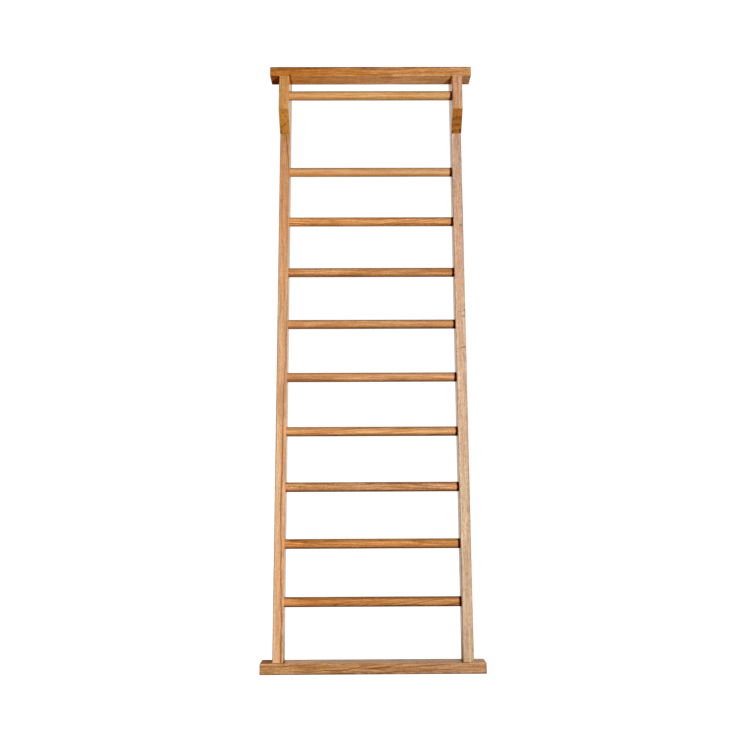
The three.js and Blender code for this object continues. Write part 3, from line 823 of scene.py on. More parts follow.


# each piece has its own tone and a plain drift from one end to the other: the real one is built of mixed, uneven
# boards; on the rungs and the top bar the drift is painted light against the lamp at the right
# painted shade: the eased edges of the posts and head blocks are darkened as if their rounding lay in shade
SHADED_EDGE = (0.84, 0.81, 0.78)
post_left_mat = wood("wood_post_left", "z", (-POST_X, POST_Y, 1100.0), 1, lin(234, 190, 142), lin(212, 158, 108), lin(158, 100, 58), gloss=0.30, shine=0.5, coat=0.2,
                     pith=(-8.0, 75.0), tilt=(0.010, 0.0), ring=6.5, warp=7.0, late=0.38, streak=0.36, fine=1.1, drift=lin(226, 166, 112), edge_mul=SHADED_EDGE,
                     ends=[(1.41, 1.56, 1.82), (1.12, 1.00, 0.93)],
                     band=(-1.0, 13.0, (1.04, 0.88, 0.80), -500.0, 300.0),
                     # painted shade on the inner face, and a painted shadow at its foot where it meets the bottom beam
                     face_shading=[("x", 0.5, 0.9, (0.82, 0.87, 1.02))], shade_patches=[("x", 0.5, 0.9, -1051.0, -1061.0, (0.36, 0.24, 0.16))],
                     lines=[([(-1064, 11.0, 1.0), (-989, 10.3, 1.0), (-924, 10.3, 0.95), (-759, 7.0, 0.9), (-574, 3.3, 0.85), (-350, 6.4, 1.0), (-174, 7.8, 0.9),
                              (0, 13.0, 0.45), (300, 16.5, 0.2), (560, 16.5, 0.15), (668, 15.0, 0.5), (731, 13.0, 1.0), (780, 8.5, 1.0), (823, 4.4, 0.8), (850, 3.0, 0.3), (1064, 0.0, 0.0)],
                             2.8, (0.50, 0.38, 0.28), (-20.0, -8.0)),
                            ([(-1064, 12.0, 1.0), (-989, 11.2, 1.0), (-924, 11.0, 0.95), (-759, 8.5, 0.8), (-574, 5.0, 0.5), (-350, 6.4, 0.3), (-174, 7.8, 0.2), (0, 13.0, 0.0), (1064, 13.0, 0.0)],
                             6.0, (0.74, 0.62, 0.50), (-20.0, -8.0))],
                     # marks: painted shade along the inner face's wall-side edge and near its top, and a painted
                     # highlight along the front's outer edge
                     marks=[((18.5, 31.0, 0.0), (9.0, 17.0, 4000.0), (0, 0), (0.56, 0.48, 0.40), 0.9),
                            ((-5.0, -31.0, 821.0), (13.0, 10.0, 13.0), (0, 0), (0.95, 1.20, 0.55), 0.9),
                            ((-18.0, -31.0, 0.0), (8.0, 9.0, 3000.0), (0, 0), (1.16, 1.32, 1.52), 0.85),
                            ((18.0, -31.0, -650.0), (7.0, 14.0, 650.0), (0, 0), (0.80, 0.82, 0.90), 0.9),
                            ((18.5, 0.0, 930.0), (7.0, 60.0, 150.0), (0, 0), (0.80, 0.82, 0.76), 0.9),
                            ((0.0, -31.0, 20.0), (32.0, 14.0, 460.0), (0, 0), (0.92, 0.95, 0.97), 0.9)])
post_right_mat = wood("wood_post_right", "z", (POST_X, POST_Y, 1100.0), 2, lin(230, 190, 156), lin(204, 160, 126), lin(152, 104, 72), tone=(0.90, 0.93, 0.96), gloss=0.30, shine=0.5, coat=0.2,
                      pith=(-62.0, 55.0), tilt=(0.006, 0.004), ring=5.0, warp=6.0, late=0.40, streak=0.38, fine=1.4, mottle=1.05, drift=lin(212, 162, 126), edge_mul=SHADED_EDGE,
                      ends=[(1.01, 1.09, 1.10), (1.11, 1.16, 1.25)],
                      # painted light on the inner face, and a painted shadow at its foot where it meets the bottom beam
                      face_shading=[("x", -0.5, -0.9, (1.25, 1.14, 0.92))], shade_patches=[("x", -0.5, -0.9, -1050.0, -1061.0, (0.30, 0.18, 0.12))],
                      # marks: painted shade along the inner face's wall-side edge and down the front's outer side, a
                      # painted highlight along the front's inner edge and a painted sheen on the inner face near its
                      # top; the small marks lower down are the wood's own
                      marks=[((-18.5, 31.0, 0.0), (9.0, 17.0, 4000.0), (0, 0), (0.66, 0.60, 0.52), 0.85),
                             ((-14.0, -31.0, 0.0), (6.0, 10.0, 3000.0), (0, 0), (1.12, 1.14, 1.17), 0.85),
                             ((-18.5, 0.0, 930.0), (7.0, 60.0, 150.0), (0, 0), (1.32, 1.42, 1.50), 0.9),
                             ((21.0, -31.0, 0.0), (15.0, 18.0, 3000.0), (0, 0), (0.85, 0.87, 0.91), 0.9),
                             ((8.0, -31.0, 472.0), (6.0, 9.0, 3.8), (0, 0.3), (0.44, 0.37, 0.28), 0.9),
                             ((14.0, -31.0, 150.0), (8.0, 9.0, 3.6), (0, 0.25), (0.32, 0.26, 0.22), 0.95),
                             ((2.0, -31.0, 146.0), (18.0, 9.0, 2.8), (0, 0.12), (0.72, 0.62, 0.54), 0.8),
                             ((12.0, -31.0, 129.0), (10.0, 9.0, 3.4), (0, 0.0), (0.50, 0.42, 0.35), 0.9),
                             ((15.0, -31.0, 139.5), (6.0, 9.0, 7.0), (0, 0.0), (0.84, 0.78, 0.70), 0.9),
                             ((8.0, -31.0, 15.0), (13.0, 9.0, 4.0), (0, 0.22), (0.42, 0.33, 0.27), 0.95),
                             ((-8.0, -31.0, 10.0), (14.0, 9.0, 3.0), (0, 0.1), (0.76, 0.67, 0.58), 0.7)])
head_left_mat = wood("wood_head_left", "z", (-POST_X, -62.0, 2030.0), 3, lin(234, 174, 106), lin(214, 148, 82), lin(152, 90, 40), tone=(1.49, 1.37, 1.46),
                     # painted shade on the inner face
                     pith=(-58.0, 52.0), tilt=(0.05, 0.0), ring=6.5, late=0.50, streak=0.4, fine=1.2, mottle=1.1, end_tint=(0.72, 0.62, 0.265), gloss=0.30, shine=0.5, coat=0.2, edge_mul=SHADED_EDGE, face_shading=[("x", 0.5, 0.9, (0.71, 0.74, 0.71))],
                     # marks: a painted highlight at the top of the inner face, and painted shade in the crease at the
                     # foot of the slope
                     marks=[((18.5, 0.0, 82.0), (7.0, 60.0, 44.0), (0, 0), (1.7, 1.55, 1.35), 0.9), ((0.0, 14.0, -75.0), (24.0, 60.0, 4.4), (0, 0.66), (0.66, 0.46, 0.22), 0.95),
                            ((-19.0, 20.0, -86.0), (6.0, 40.0, 24.0), (0, 0), (0.62, 0.46, 0.30), 0.85),
                            ((-15.0, 26.0, -96.0), (7.0, 14.0, 6.0), (0, 0), (0.46, 0.32, 0.18), 0.9)])
head_right_mat = wood("wood_head_right", "z", (POST_X, -62.0, 2030.0), 4, lin(226, 176, 136), lin(200, 146, 106), lin(140, 84, 44), tone=(1.17, 1.21, 1.27),
                      pith=(8.0, 85.0), tilt=(-0.03, 0.0), ring=10.0, late=0.40, streak=0.35, fine=1.1, mottle=1.0, end_tint=(0.545, 0.352, 0.075), end_rings=1.0, gloss=0.34, shine=0.25, coat=0.05, edge_mul=SHADED_EDGE,
                      # painted light on the inner face
                      face_shading=[("x", -0.5, -0.9, (1.66, 1.74, 1.65))],
                      # marks: a painted highlight at the top of the inner face, painted shade along both side edges of
                      # the front, and painted shade in the crease at the foot of the slope
                      marks=[((-18.5, 0.0, 82.0), (7.0, 60.0, 44.0), (0, 0), (1.5, 1.2, 0.6), 0.9), ((0.0, 10.0, -77.0), (22.0, 50.0, 6.5), (0, 0.06), (0.86, 0.58, 0.36), 0.85),
                             ((-19.0, -35.0, 36.0), (6.0, 8.0, 80.0), (0, 0), (0.70, 0.64, 0.58), 0.85),
                             ((20.0, -35.0, 36.0), (8.0, 14.0, 80.0), (0, 0), (0.78, 0.86, 0.98), 0.85),
                             ((2.0, 24.0, -89.0), (9.0, 30.0, 4.5), (0, -0.2), (1.45, 1.60, 2.20), 0.75),
                             ((15.0, 26.0, -93.0), (7.0, 26.0, 12.0), (0, 0), (0.36, 0.20, 0.06), 0.9),
                             ((-16.0, 28.0, -96.0), (6.0, 14.0, 6.0), (0, 0), (0.38, 0.28, 0.05), 0.9),
                             ((-20.0, 0.0, -66.0), (6.0, 60.0, 44.0), (0, 0), (0.60, 0.56, 0.45), 0.8),
                             ((20.0, 0.0, -66.0), (6.0, 60.0, 44.0), (0, 0), (0.58, 0.54, 0.42), 0.8)])
foot_mat = wood("wood_bottom_beam", "x", (0.0, 0.0, 18.0), 5, lin(214, 162, 114), lin(182, 126, 80), lin(106, 58, 26), tone=(1.06, 1.05, 1.05),
                pith=(20.0, -70.0), tilt=(0.0, 0.050), ring=8.5, warp=11.0, late=0.50, streak=0.32, fine=1.1, mottle=1.2, short=3.6, length=763.0,
                # painted shade on the lower faces and a slight tint on the top face
                ends=[(1.12, 1.15, 1.03), (0.76, 0.79, 0.87)], face_shading=[("z", 0.5, 0.9, (1.02, 1.02, 0.98)), ("z", -0.2, -0.7, (0.55, 0.50, 0.46))], gloss=0.38, shine=0.14, coat=0.0,
                fade=(60.0, 330.0, 0.25),
                lines=[([(-330, 6.5, 0.0), (-314, 7.7, 0.6), (-260, 13.0, 0.9), (-142, 17.3, 0.5)], 2.6, (0.58, 0.46, 0.34), (-34.0, -28.0), True),
                       ([(-260, -11.0, 0.0), (-226, -9.4, 0.8), (-150, -3.0, 1.0), (-115, -4.4, 1.0), (-4, 11.3, 0.8), (20, 13.5, 0.0)], 3.0, (0.52, 0.38, 0.26), (-34.0, -28.0), True),
                       ([(-40, -2.5, 0.0), (-4, 1.4, 0.9), (38, 5.4, 1.0), (80, 12.0, 0.8), (110, 15.0, 0.0)], 2.8, (0.52, 0.38, 0.26), (-34.0, -28.0), True),
                       ([(90, 3.0, 0.0), (114, 4.9, 0.9), (170, 8.8, 0.9), (232, 11.0, 0.7), (270, 12.0, 0.0)], 2.4, (0.56, 0.44, 0.32), (-34.0, -28.0), True)],
                # painted shadow of the left post on the top face left of it
                shade_patches=[("z", 0.5, 0.9, -341.0, -346.0, (0.82, 0.74, 0.56))],
                # marks: painted shadows at both post feet and left of the left post, painted highlights along the
                # front's top edge, and painted shade along the front's bottom edge and at both ends; this beam's edge
                # tint is a painted highlight
                marks=[((-8.0, 18.0, 300.0), (30.0, 9.0, 8.0), (0, 0), (0.30, 0.18, 0.10), 0.95), ((-8.0, 18.0, -300.0), (30.0, 9.0, 6.0), (0, 0), (0.30, 0.18, 0.10), 0.95),
                       ((22.0, 18.0, 88.0), (18.0, 9.0, 26.0), (0, 0), (0.58, 0.58, 0.46), 0.8),
                       ((-35.0, 18.0, 345.0), (8.0, 8.0, 50.0), (0, 0), (1.75, 1.95, 2.25), 0.9), ((-35.0, 15.0, -290.0), (10.0, 6.0, 130.0), (0, 0), (1.18, 1.22, 1.34), 0.9),
                       ((32.0, 18.0, -364.0), (24.0, 9.0, 26.0), (0, 0), (0.34, 0.22, 0.12), 0.95), ((-10.0, 18.0, -364.0), (40.0, 9.0, 26.0), (0, 0), (0.86, 0.74, 0.60), 0.9),
                       ((-35.0, -18.0, 0.0), (9.0, 6.5, 3000.0), (0, 0), (0.46, 0.43, 0.42), 0.9), ((-35.0, 0.0, 383.0), (14.0, 40.0, 7.0), (0, 0), (0.55, 0.58, 0.62), 0.85),
                       ((-35.0, 0.0, -383.0), (14.0, 40.0, 6.0), (0, 0), (0.60, 0.56, 0.50), 0.85)], edge_mul=(1.34, 1.40, 1.46))
top_mat = wood("wood_top_beam", "x", (0.0, -62.0, 2147.0), 6, lin(216, 154, 94), lin(186, 116, 52), lin(112, 58, 18), tone=(1.05, 1.05, 1.05),
               pith=(60.0, 18.0), tilt=(0.004, 0.012), ring=7.5, warp=9.0, late=0.50, streak=0.46, fine=1.15, mottle=1.05, short=3.2, drift=lin(206, 148, 96), length=748.0,
               # painted light on the underside and painted shade on the right end face
               ends=[(1.21, 1.05, 0.60), (1.18, 1.30, 1.55)], face_shading=[("z", -0.5, -0.9, (1.10, 1.20, 1.34)), ("x", 0.3, 0.8, (0.50, 0.52, 0.50))], edge_mul=(1.04, 1.06, 1.10),
               # painted shade at both ends of the underside beyond the head blocks, and tint changes along the
               # underside
               shade_patches=[("z", -0.5, -0.9, -339.0, -344.0, (0.55, 0.28, 0.03)), ("z", -0.5, -0.9, 339.0, 344.0, (0.80, 0.80, 0.98)), ("z", -0.5, -0.9, 120.0, 290.0, (0.78, 0.78, 0.74)), ("z", -0.5, -0.9, -60.0, -240.0, (0.96, 1.01, 1.32))],
               # marks: painted shade along the front's top edge and the underside's back edge, and painted shadows on
               # the underside beside both head blocks; the reddish spots on the underside are the wood's own
               marks=[((-35.0, 18.0, 0.0), (7.0, 6.0, 3000.0), (0, 0), (0.26, 0.25, 0.21), 0.95), ((-35.0, -6.0, 27.0), (8.0, 4.0, 11.0), (0, 0), (1.02, 0.76, 0.52), 0.9), ((-20.0, -18.0, 70.0), (22.0, 9.0, 36.0), (0, 0), (0.76, 0.58, 0.40), 0.85),
                      ((12.0, -18.0, 62.0), (12.0, 9.0, 16.0), (0, 0), (0.80, 0.58, 0.42), 0.8),
                      ((34.0, -18.0, 0.0), (8.0, 9.0, 3000.0), (0, 0), (0.46, 0.48, 0.55), 0.9), ((0.0, -18.0, -300.0), (70.0, 9.0, 7.0), (0, 0), (0.36, 0.28, 0.14), 0.95), ((0.0, -18.0, 300.0), (70.0, 9.0, 8.0), (0, 0), (0.66, 0.46, 0.14), 0.95)],
               gloss=0.38, shine=0.12, coat=0.0)
post("left", -1, post_left_mat, 1)
post("right", 1, post_right_mat, 2)
head_block("left", -1, head_left_mat, 3)
head_block("right", 1, head_right_mat, 4)
beams(foot_mat, top_mat)

# painted shadow: the right end of each rung and of the top bar is darkened where the right post shades it
RUNG_END_SHADOW = [("x", -2.0, -1.5, 293.5, 298.0, (0.36, 0.09, 0.03))]
BAR_END_SHADOW = [("x", -2.0, -1.5, 293.5, 298.0, (0.66, 0.32, 0.06))]
# painted shade on the top bar's top and underside
BAR_RIM_SHADE = [("z", 0.20, 0.95, (0.56, 0.49, 0.41)), ("z", -0.40, -0.95, (0.68, 0.64, 0.52))]
RUNG_PAINTED_FALLOFF = [(1.12, 1.11, 1.08), (0.89, 0.90, 0.93)]  # painted light: every rung is a little paler at its left end and darker at its right, against the lamp's stronger light at the right
RUNG_LOOKS = [
    # light, mid, dark, pith, tilt, ring, late, tone, how lively, how light the painted shade underneath is
    (lin(220, 156, 98), lin(198, 126, 64), lin(116, 60, 22), (20, 34), (0.0, 0.13), 7.0, 0.80, (1.01, 1.06, 1.08), 0.65, 0.0),
    (lin(232, 176, 120), lin(208, 144, 86), lin(136, 76, 34), (-30, 30), (0.02, -0.05), 7.0, 0.65, (0.92, 0.8, 0.62), 0.95, 0.0),
    (lin(238, 186, 134), lin(210, 148, 92), lin(132, 74, 34), (26, -34), (0.05, 0.06), 6.4, 0.85, (0.86, 0.82, 0.81), 1.4, 0.12),
    (lin(232, 176, 120), lin(206, 140, 80), lin(136, 76, 32), (-22, -40), (-0.03, 0.05), 8.0, 0.70, (1.05, 1.1, 1.16), 0.7, 0.0),
    (lin(232, 178, 126), lin(208, 148, 94), lin(136, 78, 38), (34, 22), (-0.04, 0.03), 6.6, 0.62, (1.0, 0.98, 1.01), 0.65, 0.25),
    (lin(226, 170, 114), lin(208, 144, 86), lin(142, 82, 38), (-36, 18), (0.02, 0.03), 7.4, 0.50, (0.96, 0.97, 1.03), 0.75, 0.25),
    (lin(238, 188, 136), lin(208, 148, 94), lin(134, 78, 38), (18, 42), (0.06, -0.04), 7.0, 0.70, (0.95, 0.84, 0.72), 0.85, 0.35),
    (lin(234, 174, 116), lin(204, 134, 72), lin(128, 64, 24), (-26, 36), (-0.11, 0.05), 6.5, 0.75, (1.09, 1.06, 1.0), 0.95, 0.9),
    (lin(234, 188, 142), lin(218, 164, 114), lin(160, 106, 60), (30, -28), (0.02, 0.02), 6.4, 0.34, (1.05, 0.95, 0.81), 0.5, 1.0),
]
for i, (light, mid, dark, pith, tilt, ring, late, tone, life, k) in enumerate(RUNG_LOOKS):
    # painted shade on the top and the underside of each rung; the low rungs are painted darkest underneath
    rim_shade = [("z", 0.30, 0.95, (0.65, 0.59, 0.50)), ("z", -0.20, -0.85, tuple(a + (b - a) * k for a, b in zip((0.58, 0.47, 0.32), (0.82, 0.76, 0.64)))),
              ("z", -0.55, -0.98, tuple(a + (b - a) * k for a, b in zip((0.48, 0.40, 0.30), (0.86, 0.84, 0.80))))]
    z = rung_z(i)
    m = wood(f"wood_rung_{i + 1}", "x", (0.0, POST_Y, z), 20 + i, light, mid, dark, pith=pith, tilt=tilt, ring=ring, warp=9.0, late=late, tone=tuple(a * b for a, b in zip(tone, (1.01, 1.02, 1.05))),
             streak=0.40 * life, fleck=0.45 * life, fine=1.2 * life, blotch=0.26 * life, mottle=0.9 * life, short=2.2, gloss=0.36, shine=0.14, coat=0.0, face_shading=rim_shade, shade_patches=RUNG_END_SHADOW, ends=RUNG_PAINTED_FALLOFF, length=607.0)
    sgn = -1 if i % 2 == 0 else 1
    round_bar(f"rung_{i + 1}_wood", f"rung_{i + 1}", POST_Y, z, 3.0 + i, m, [(screw_hole(4.5, 9, 46, 3), at(sgn * LOCK_X, WALL_Y - 0.5, z, "y"))])
bar_mat = wood("wood_top_bar", "x", (0.0, TOP_BAR_Y, TOP_BAR_Z), 40, lin(226, 172, 116), lin(212, 150, 92), lin(150, 90, 42), pith=(-28, 30), tilt=(0.01, -0.01),
               ring=6.6, warp=8.0, late=0.34, streak=0.26, fleck=0.3, fine=0.8, blotch=0.18, mottle=0.55, short=2.0, gloss=0.36, shine=0.14, coat=0.0, face_shading=BAR_RIM_SHADE, shade_patches=BAR_END_SHADOW, tone=(1.04, 1.09, 1.06),
               # painted light: the top bar is paler at its left end, against the lamp's stronger light at the right
               ends=[(1.17, 1.17, 1.19), (0.97, 0.98, 1.00)], length=607.0)
round_bar("top_bar_wood", "top_bar", TOP_BAR_Y, TOP_BAR_Z, 30.0, bar_mat,
          [(screw_hole(5, 10, 66, 5), at(s * LOCK_X, TOP_BAR_Y, HEAD_TOP - 0.5)) for s in (-1, 1)])

# ---------------------------------------------------------------- fastenings
zinc = metal("zinc_plate", (0.62, 0.63, 0.64), 1)
plate_mat = metal("plate_steel", (0.50, 0.51, 0.52), 2, 0.40)
dowel_mat = wood("wood_dowel", "z", (0.0, 0.0, 0.0), 50, lin(226, 196, 152), lin(210, 176, 128), lin(170, 128, 84), pith=(40, 30), ring=3.0, warp=2.0, late=0.3, streak=0.2)
def turn(loop, angle):
    c, q = math.cos(angle), math.sin(angle)
    return [(u * c - v * q, u * q + v * c) for u, v in loop]


def wood_screw(node, d, head, length, place, angle):
    """Countersunk, cross-recessed, threaded over the lower part; its head's face is at local z = 0."""
    cone, core, pitch = (head - d) / 2, d * 0.34, d * 0.46
    prof = [(0, -length), (d * 0.10, -length + 0.4), (d * 0.24, -length + d * 0.7), (core, -length + d)]
    z = -length + d
    while z + pitch < -0.42 * length:
        prof += [(core, z + 0.50 * pitch), (d / 2 - 0.02, z + 0.72 * pitch), (d / 2 - 0.02, z + 0.80 * pitch), (core, z + pitch)]
        z += pitch
    prof += [(d * 0.42, z + 1.0), (d * 0.42, -cone - 0.8), (d / 2 - 0.15, -cone), (head / 2 - 0.12, -0.62), (head / 2, -0.46), (head / 2, -0.16), (head / 2 - 0.16, 0), (0, 0)]
    ob = lathe(node + "_steel", prof, 24, None, (2, 2, 62, 42), 64.0)
    w, e = 0.085 * head, 0.31 * head
    cross = [(w, -e), (w, -w), (e, -w), (e, w), (w, w), (w, e), (-w, e), (-w, w), (-e, w), (-e, -w), (-w, -w), (-w, -e)]
    cut(ob, [prism("tool", turn(cross, angle), -0.24 * head, 1.0, None, (2, 45, 62, 62), 64.0)])
    ob.data.transform(place)
    smooth(ob)
    return settle(ob, node, zinc)


def socket_bolt(node, length, place, angle):
    """A socket-head bolt: the head's face at local z = 0, threaded towards its end."""
    r, head_r, head_h = 4.0, 6.5, 8.0
    prof = [(0, -length), (r - 1.0, -length), (r - 0.75, -length + 0.4)]
    z = -length + 1.0
    while z < -length + 44:
        prof += [(r - 0.65, z), (r - 0.02, z + 0.55), (r - 0.02, z + 0.70), (r - 0.65, z + 1.25)]
        z += 1.25
    prof += [(r - 0.02, z + 0.8), (r - 0.02, -head_h - 0.4), (r + 0.3, -head_h), (head_r - 0.3, -head_h), (head_r, -head_h + 0.3),
             (head_r, -0.8), (head_r - 0.25, -0.30), (head_r - 0.8, 0), (4.0, 0), (0, 0)]
    ob = lathe(node + "_steel", prof, 36, None, (2, 2, 62, 42), 64.0)
    hexa = [(3.4 * math.cos(math.radians(60 * i)), 3.4 * math.sin(math.radians(60 * i))) for i in range(6)]
    cut(ob, [prism("tool", turn(hexa, angle), -4.5, 1.0, None, (2, 45, 62, 62), 64.0)])
    ob.data.transform(place)
    smooth(ob)
    return settle(ob, node, zinc)


def barrel_nut(node, place, across, angle):
    """A cross-drilled barrel nut about local z, with a driver slot in its outer end."""
    r, half = 7.0, 11.0
    prof = [(0, -half), (r - 0.6, -half), (r, -half + 0.6), (r, half - 0.6), (r - 0.6, half), (0, half)]
    ob = lathe(node + "_steel", prof, 40, None, (2, 2, 62, 32), 64.0)
    hole = [(0, -20), (4.3, -20), (4.3, 20), (0, 20)]
    slot = [(-0.8, -9), (0.8, -9), (0.8, 9), (-0.8, 9)]
    cut(ob, [lathe("tool", hole, 28, at(0, 0, 0, across), (2, 34, 62, 47), 64.0), prism("tool", turn(slot, angle), half - 1.8, half + 2, None, (2, 49, 62, 62), 64.0)])
    ob.data.transform(place)
    smooth(ob)
    return settle(ob, node, zinc)


def fluted_dowel(node, x, y, z0, z1):
    """A beech pin with pressed flutes and chamfered ends."""
    prof = [(0, z0), (3.9, z0), (4.35, z0 + 0.5), (4.92, z0 + 1.6)]
    prof += [(4.96, z0 + 1.6 + (z1 - z0 - 3.2) * k / 6) for k in range(1, 6)]
    prof += [(4.92, z1 - 1.6), (4.35, z1 - 0.5), (3.9, z1), (0, z1)]
    ob = lathe(node + "_wood", prof, 48, None, (2, 2, 62, 62), 64.0)
    for v in ob.data.vertices:
        a = math.atan2(v.co.y, v.co.x)
        dip = 0.5 + 0.5 * math.cos(16 * a)
        k = 1.0 - 0.055 * dip if math.hypot(v.co.x, v.co.y) > 4.5 * MM else 1.0
        v.co.x *= k
        v.co.y *= k
    ob.data.transform(at(x, y, 0))
    smooth(ob, 50.0)
    return settle(ob, node, dowel_mat)


def keyhole():
    """The opening of a hanger plate, wide end down (v runs downwards on the wall side)."""
    big, slot = 6.0, 3.2
    meet = math.acos(slot / big)
    pts = [(slot * math.cos(math.pi * i / 14), 10 + slot * math.sin(math.pi * i / 14)) for i in range(15)]
    for i in range(29):
        a = math.pi - meet + i / 28 * (math.pi + 2 * meet)
        pts.append((big * math.cos(a), -6 + big * math.sin(a)))
    return [(u, -v) for u, v in pts]


def hanger_plate(node, x, z):
    """A stamped plate with softened edges, a keyhole and two countersunk holes."""
    bm = bmesh.new()
    layer = bm.loops.layers.uv.new(UV)
    bm.verts.layers.float.new("edge")
    levels = [(0.25, -2.5), (0.0, -2.25), (0.0, -0.55), (0.16, -0.16), (0.55, 0.0)]
    rings = []
    for inset, h in levels:
        rings.append([bm.verts.new(Vector((u, v, h)) * MM) for u, v in oval(26 - 2 * inset, 74 - 2 * inset, 6.0 - inset, 8)])
    bm.faces.new(rings[0][::-1])
    bm.faces.new(rings[-1])
    n = len(rings[0])
    for lo, hi in zip(rings, rings[1:]):
        for i in range(n):
            j = (i + 1) % n
            bm.faces.new((lo[i], lo[j], hi[j], hi[i]))
    for f in bm.faces:
        down = len(f.verts) > 4 and f.calc_center_median().z < -MM
        for lp in f.loops:
            c = lp.vert.co / MM
            if down:
                uv = (46 + c.x, 40 + c.y)
            elif len(f.verts) > 4:
                uv = (16 + c.x, 40 + c.y)
            else:
                uv = (64 + (c.z + 2.5) * 1.6 + (0 if c.x > 0 else 6), 40 + c.y)
            lp[layer].uv = (uv[0] / 80.0, uv[1] / 80.0)
    ob = new_object(node + "_steel", bm)
    tools = [prism("tool", keyhole(), -6, 4, None, (76, 2, 79, 20), 80.0)]
    for dz in (-28, 28):
        tools.append(lathe("tool", screw_hole(4, 8, 28, 3), 28, at(0, dz, -0.2), (76, 22 + dz / 4 + 8, 79, 22 + dz / 4 + 18), 80.0))
    cut(ob, tools)
    ob.data.transform(at(x, WALL_Y - 0.2, z, "y"))
    smooth(ob, 30.0)
    return settle(ob, node, plate_mat)


def any_angle(*key):
    return 0.7 + 3.0 * wob(sum(k * (i + 1.37) for i, k in enumerate(key)) * 0.217, 0.5)


for sgn, word in ((-1, "left"), (1, "right")):
    x = sgn * POST_X
    socket_bolt(f"foot_bolt_{word}", 98, at(x, 14, 5, "-z"), any_angle(1, sgn))
    socket_bolt(f"head_bolt_{word}", 106, at(x, WALL_Y - 2, 2147, "y"), any_angle(2, sgn))
    barrel_nut(f"foot_barrel_nut_{word}", at(x, 14, 88, "y"), "y", 0.04 * sgn)
    barrel_nut(f"head_barrel_nut_{word}", at(x, -61, 2147, "-z"), "y", math.pi / 2)
    fluted_dowel(f"foot_dowel_{word}", x, -12, 16, 66)
    fluted_dowel(f"head_dowel_{word}", x, -83, HEAD_TOP - 22, HEAD_TOP + 20)
    for which, z in zip(("lower", "upper"), BLOCK_SCREW_Z):
        wood_screw(f"block_screw_{word}_{which}", 6, 12, 105, at(x, WALL_Y - 0.5, z, "y"), any_angle(3, sgn, z))
    wood_screw(f"top_bar_lock_screw_{word}", 5, 10, 66, at(sgn * LOCK_X, TOP_BAR_Y, HEAD_TOP - 0.5), any_angle(4, sgn))
    for level, z in zip(("lower", "upper"), PLATE_Z):
        hanger_plate(f"hanger_plate_{word}_{level}", x, z)
        for which, dz in (("low", -28), ("high", 28)):
            wood_screw(f"hanger_screw_{word}_{level}_{which}", 4, 8, 28, at(x, WALL_Y - 0.4, z + dz, "y"), any_angle(5, sgn, z + dz))
for i in range(9):
    sgn = -1 if i % 2 == 0 else 1
    wood_screw(f"rung_lock_screw_{i + 1}", 4.5, 9, 46, at(sgn * LOCK_X, WALL_Y - 0.5, rung_z(i), "y"), any_angle(6, i))

# ---------------------------------------------------------------- floor, light, camera
def floor():
    """A plain pale floor: bright to the eye, with only a trace of shadow, and too dull to light the rungs from below."""
    bm = bmesh.new()
    bmesh.ops.create_grid(bm, x_segments=1, y_segments=1, size=60.0)
    ob = new_object("floor", bm)
    ob.location.z = -0.0004
    g = Graph("floor_paint")
    p = g.coords()
    tone = g.rng(g.noise(g.v("MULTIPLY", p, (1.7, 1.7, 1.7)), 3.0), 0.3, 0.7, 0.28, 0.30)
    g.put(g.bsdf.inputs["Base Color"], g.vec(tone, tone, tone))
    g.bsdf.inputs["Roughness"].default_value = 0.9
    g.bsdf.inputs["Specular IOR Level"].default_value = 0.0
    glow = g.t.nodes.new("ShaderNodeEmission")
    path = g.t.nodes.new("ShaderNodeLightPath")
    back = g.rng(g.xyz(p)[1], 0.1, 1.2, 0.0, 0.75)
    clear = g.m("MAXIMUM", path.outputs["Is Camera Ray"], g.m("MULTIPLY", path.outputs["Is Glossy Ray"], back))
    g.put(glow.inputs["Strength"], g.m("MULTIPLY", clear, FLOOR_GLOW))
    both = g.t.nodes.new("ShaderNodeAddShader")
    g.t.links.new(g.bsdf.outputs[0], both.inputs[0])
    g.t.links.new(glow.outputs[0], both.inputs[1])
    g.t.links.new(both.outputs[0], g.out.inputs[0])
    ob.data.materials.append(g.mat)


FLOOR_GLOW = 1.0
floor()


def area(name, place, aim, size, power, colour=(1, 1, 1), size_y=None):
    data = bpy.data.lights.new(name, "AREA")
    data.energy = power
    data.color = colour
    data.shape = "RECTANGLE"
    data.size = size
    data.size_y = size_y or size
    ob = bpy.data.objects.new(name, data)
    ob.location = place
    ob.rotation_euler = (Vector(aim) - Vector(place)).to_track_quat("-Z", "Y").to_euler()
    bpy.context.scene.collection.objects.link(ob)
    return ob


key = area("key", (1.40, -2.55, 0.80), (0, 0, 1.0), 0.34, 90.0, (1.0, 0.985, 0.96), 0.5)
# no hard glare of the lamp on the lacquer
key.visible_glossy = False

world = bpy.data.worlds.new("studio")
bpy.context.scene.world = world
world.use_nodes = True
t = world.node_tree
t.nodes.clear()


def wnode(kind, *values, **props):
    n = t.nodes.new(kind)
    for k, v in props.items():
        setattr(n, k, v)
    for i, v in enumerate(values):
        if isinstance(v, bpy.types.NodeSocket):
            t.links.new(v, n.inputs[i])
        elif v is not None:
            n.inputs[i].default_value = v
    return n.outputs[0] if n.outputs else n


def wramp(x, a, b, c, d):
    return wnode("ShaderNodeMapRange", x, a, b, c, d, interpolation_type="SMOOTHSTEP")


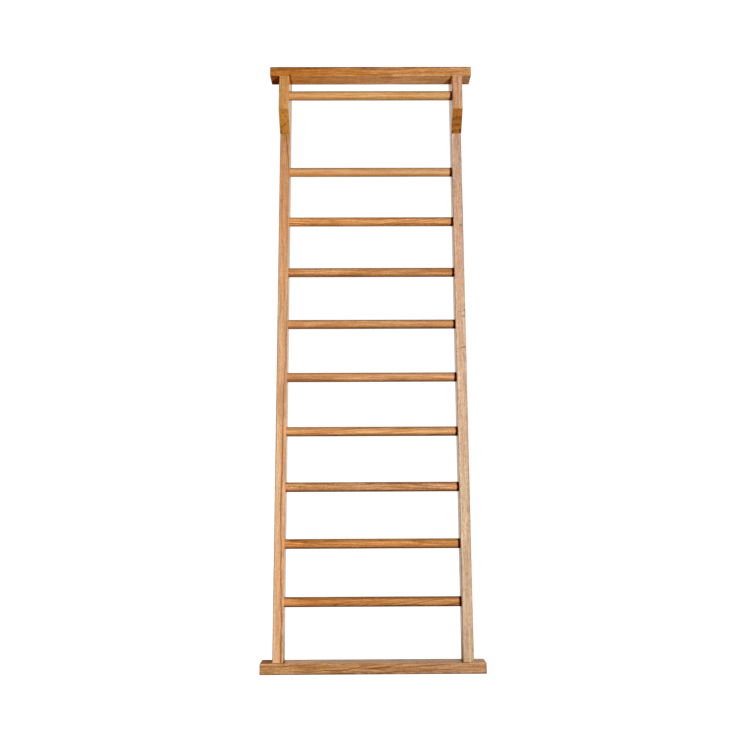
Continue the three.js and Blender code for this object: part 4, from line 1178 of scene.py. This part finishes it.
axes = t.nodes.new("ShaderNodeSeparateXYZ")
t.links.new(t.nodes.new("ShaderNodeTexCoord").outputs["Generated"], axes.inputs[0])
# a pale wall behind, brighter towards the left, and a dim room in front
wall = wramp(axes.outputs[0], -0.90, -0.10, 1.70, 0.92)
behind = wramp(axes.outputs[1], 0.10, 0.70, 0.0, 1.0)
level = wnode("ShaderNodeMath", wall, behind, 0.03, operation="MULTIPLY_ADD")
lit = wnode("ShaderNodeBackground", (1.0, 0.955, 0.87, 1), level)
seen = wnode("ShaderNodeBackground", (1, 1, 1, 1), 1.05)
ray = t.nodes.new("ShaderNodeLightPath").outputs["Is Camera Ray"]
wnode("ShaderNodeOutputWorld", wnode("ShaderNodeMixShader", ray, lit, seen))

# the camera, as the photograph's lines give it (mm, radians, pixels of 750)
CAM = (-22.04, -2881.1, 616.0)
YAW, PITCH_UP, ROLL, FOCAL, PPX, PPY = 0.0065443, 0.1695797, -0.0045283, 806.19, 370.78, 350.13
fwd = Vector((math.sin(YAW) * math.cos(PITCH_UP), math.cos(YAW) * math.cos(PITCH_UP), math.sin(PITCH_UP)))
right = Vector((math.cos(YAW), -math.sin(YAW), 0.0))
up = right.cross(fwd)
r2 = right * math.cos(ROLL) + up * math.sin(ROLL)
u2 = -right * math.sin(ROLL) + up * math.cos(ROLL)
cam_data = bpy.data.cameras.new("camera")
cam_data.sensor_fit = "HORIZONTAL"
cam_data.sensor_width = 36.0
cam_data.lens = FOCAL / 750.0 * 36.0
cam_data.shift_x = (375.0 - PPX) / 750.0
cam_data.shift_y = (PPY - 375.0) / 750.0
cam_data.clip_end = 100.0
cam = bpy.data.objects.new("camera", cam_data)
rot = Matrix((r2, u2, -fwd)).transposed().to_4x4()
cam.matrix_world = Matrix.Translation(Vector(CAM) * MM) @ rot
bpy.context.scene.collection.objects.link(cam)
bpy.context.scene.camera = cam

scene = bpy.context.scene
scene.view_settings.view_transform = "Standard"
scene.view_settings.look = "None"
scene.view_settings.exposure = 0.0
scene.view_settings.gamma = 1.0
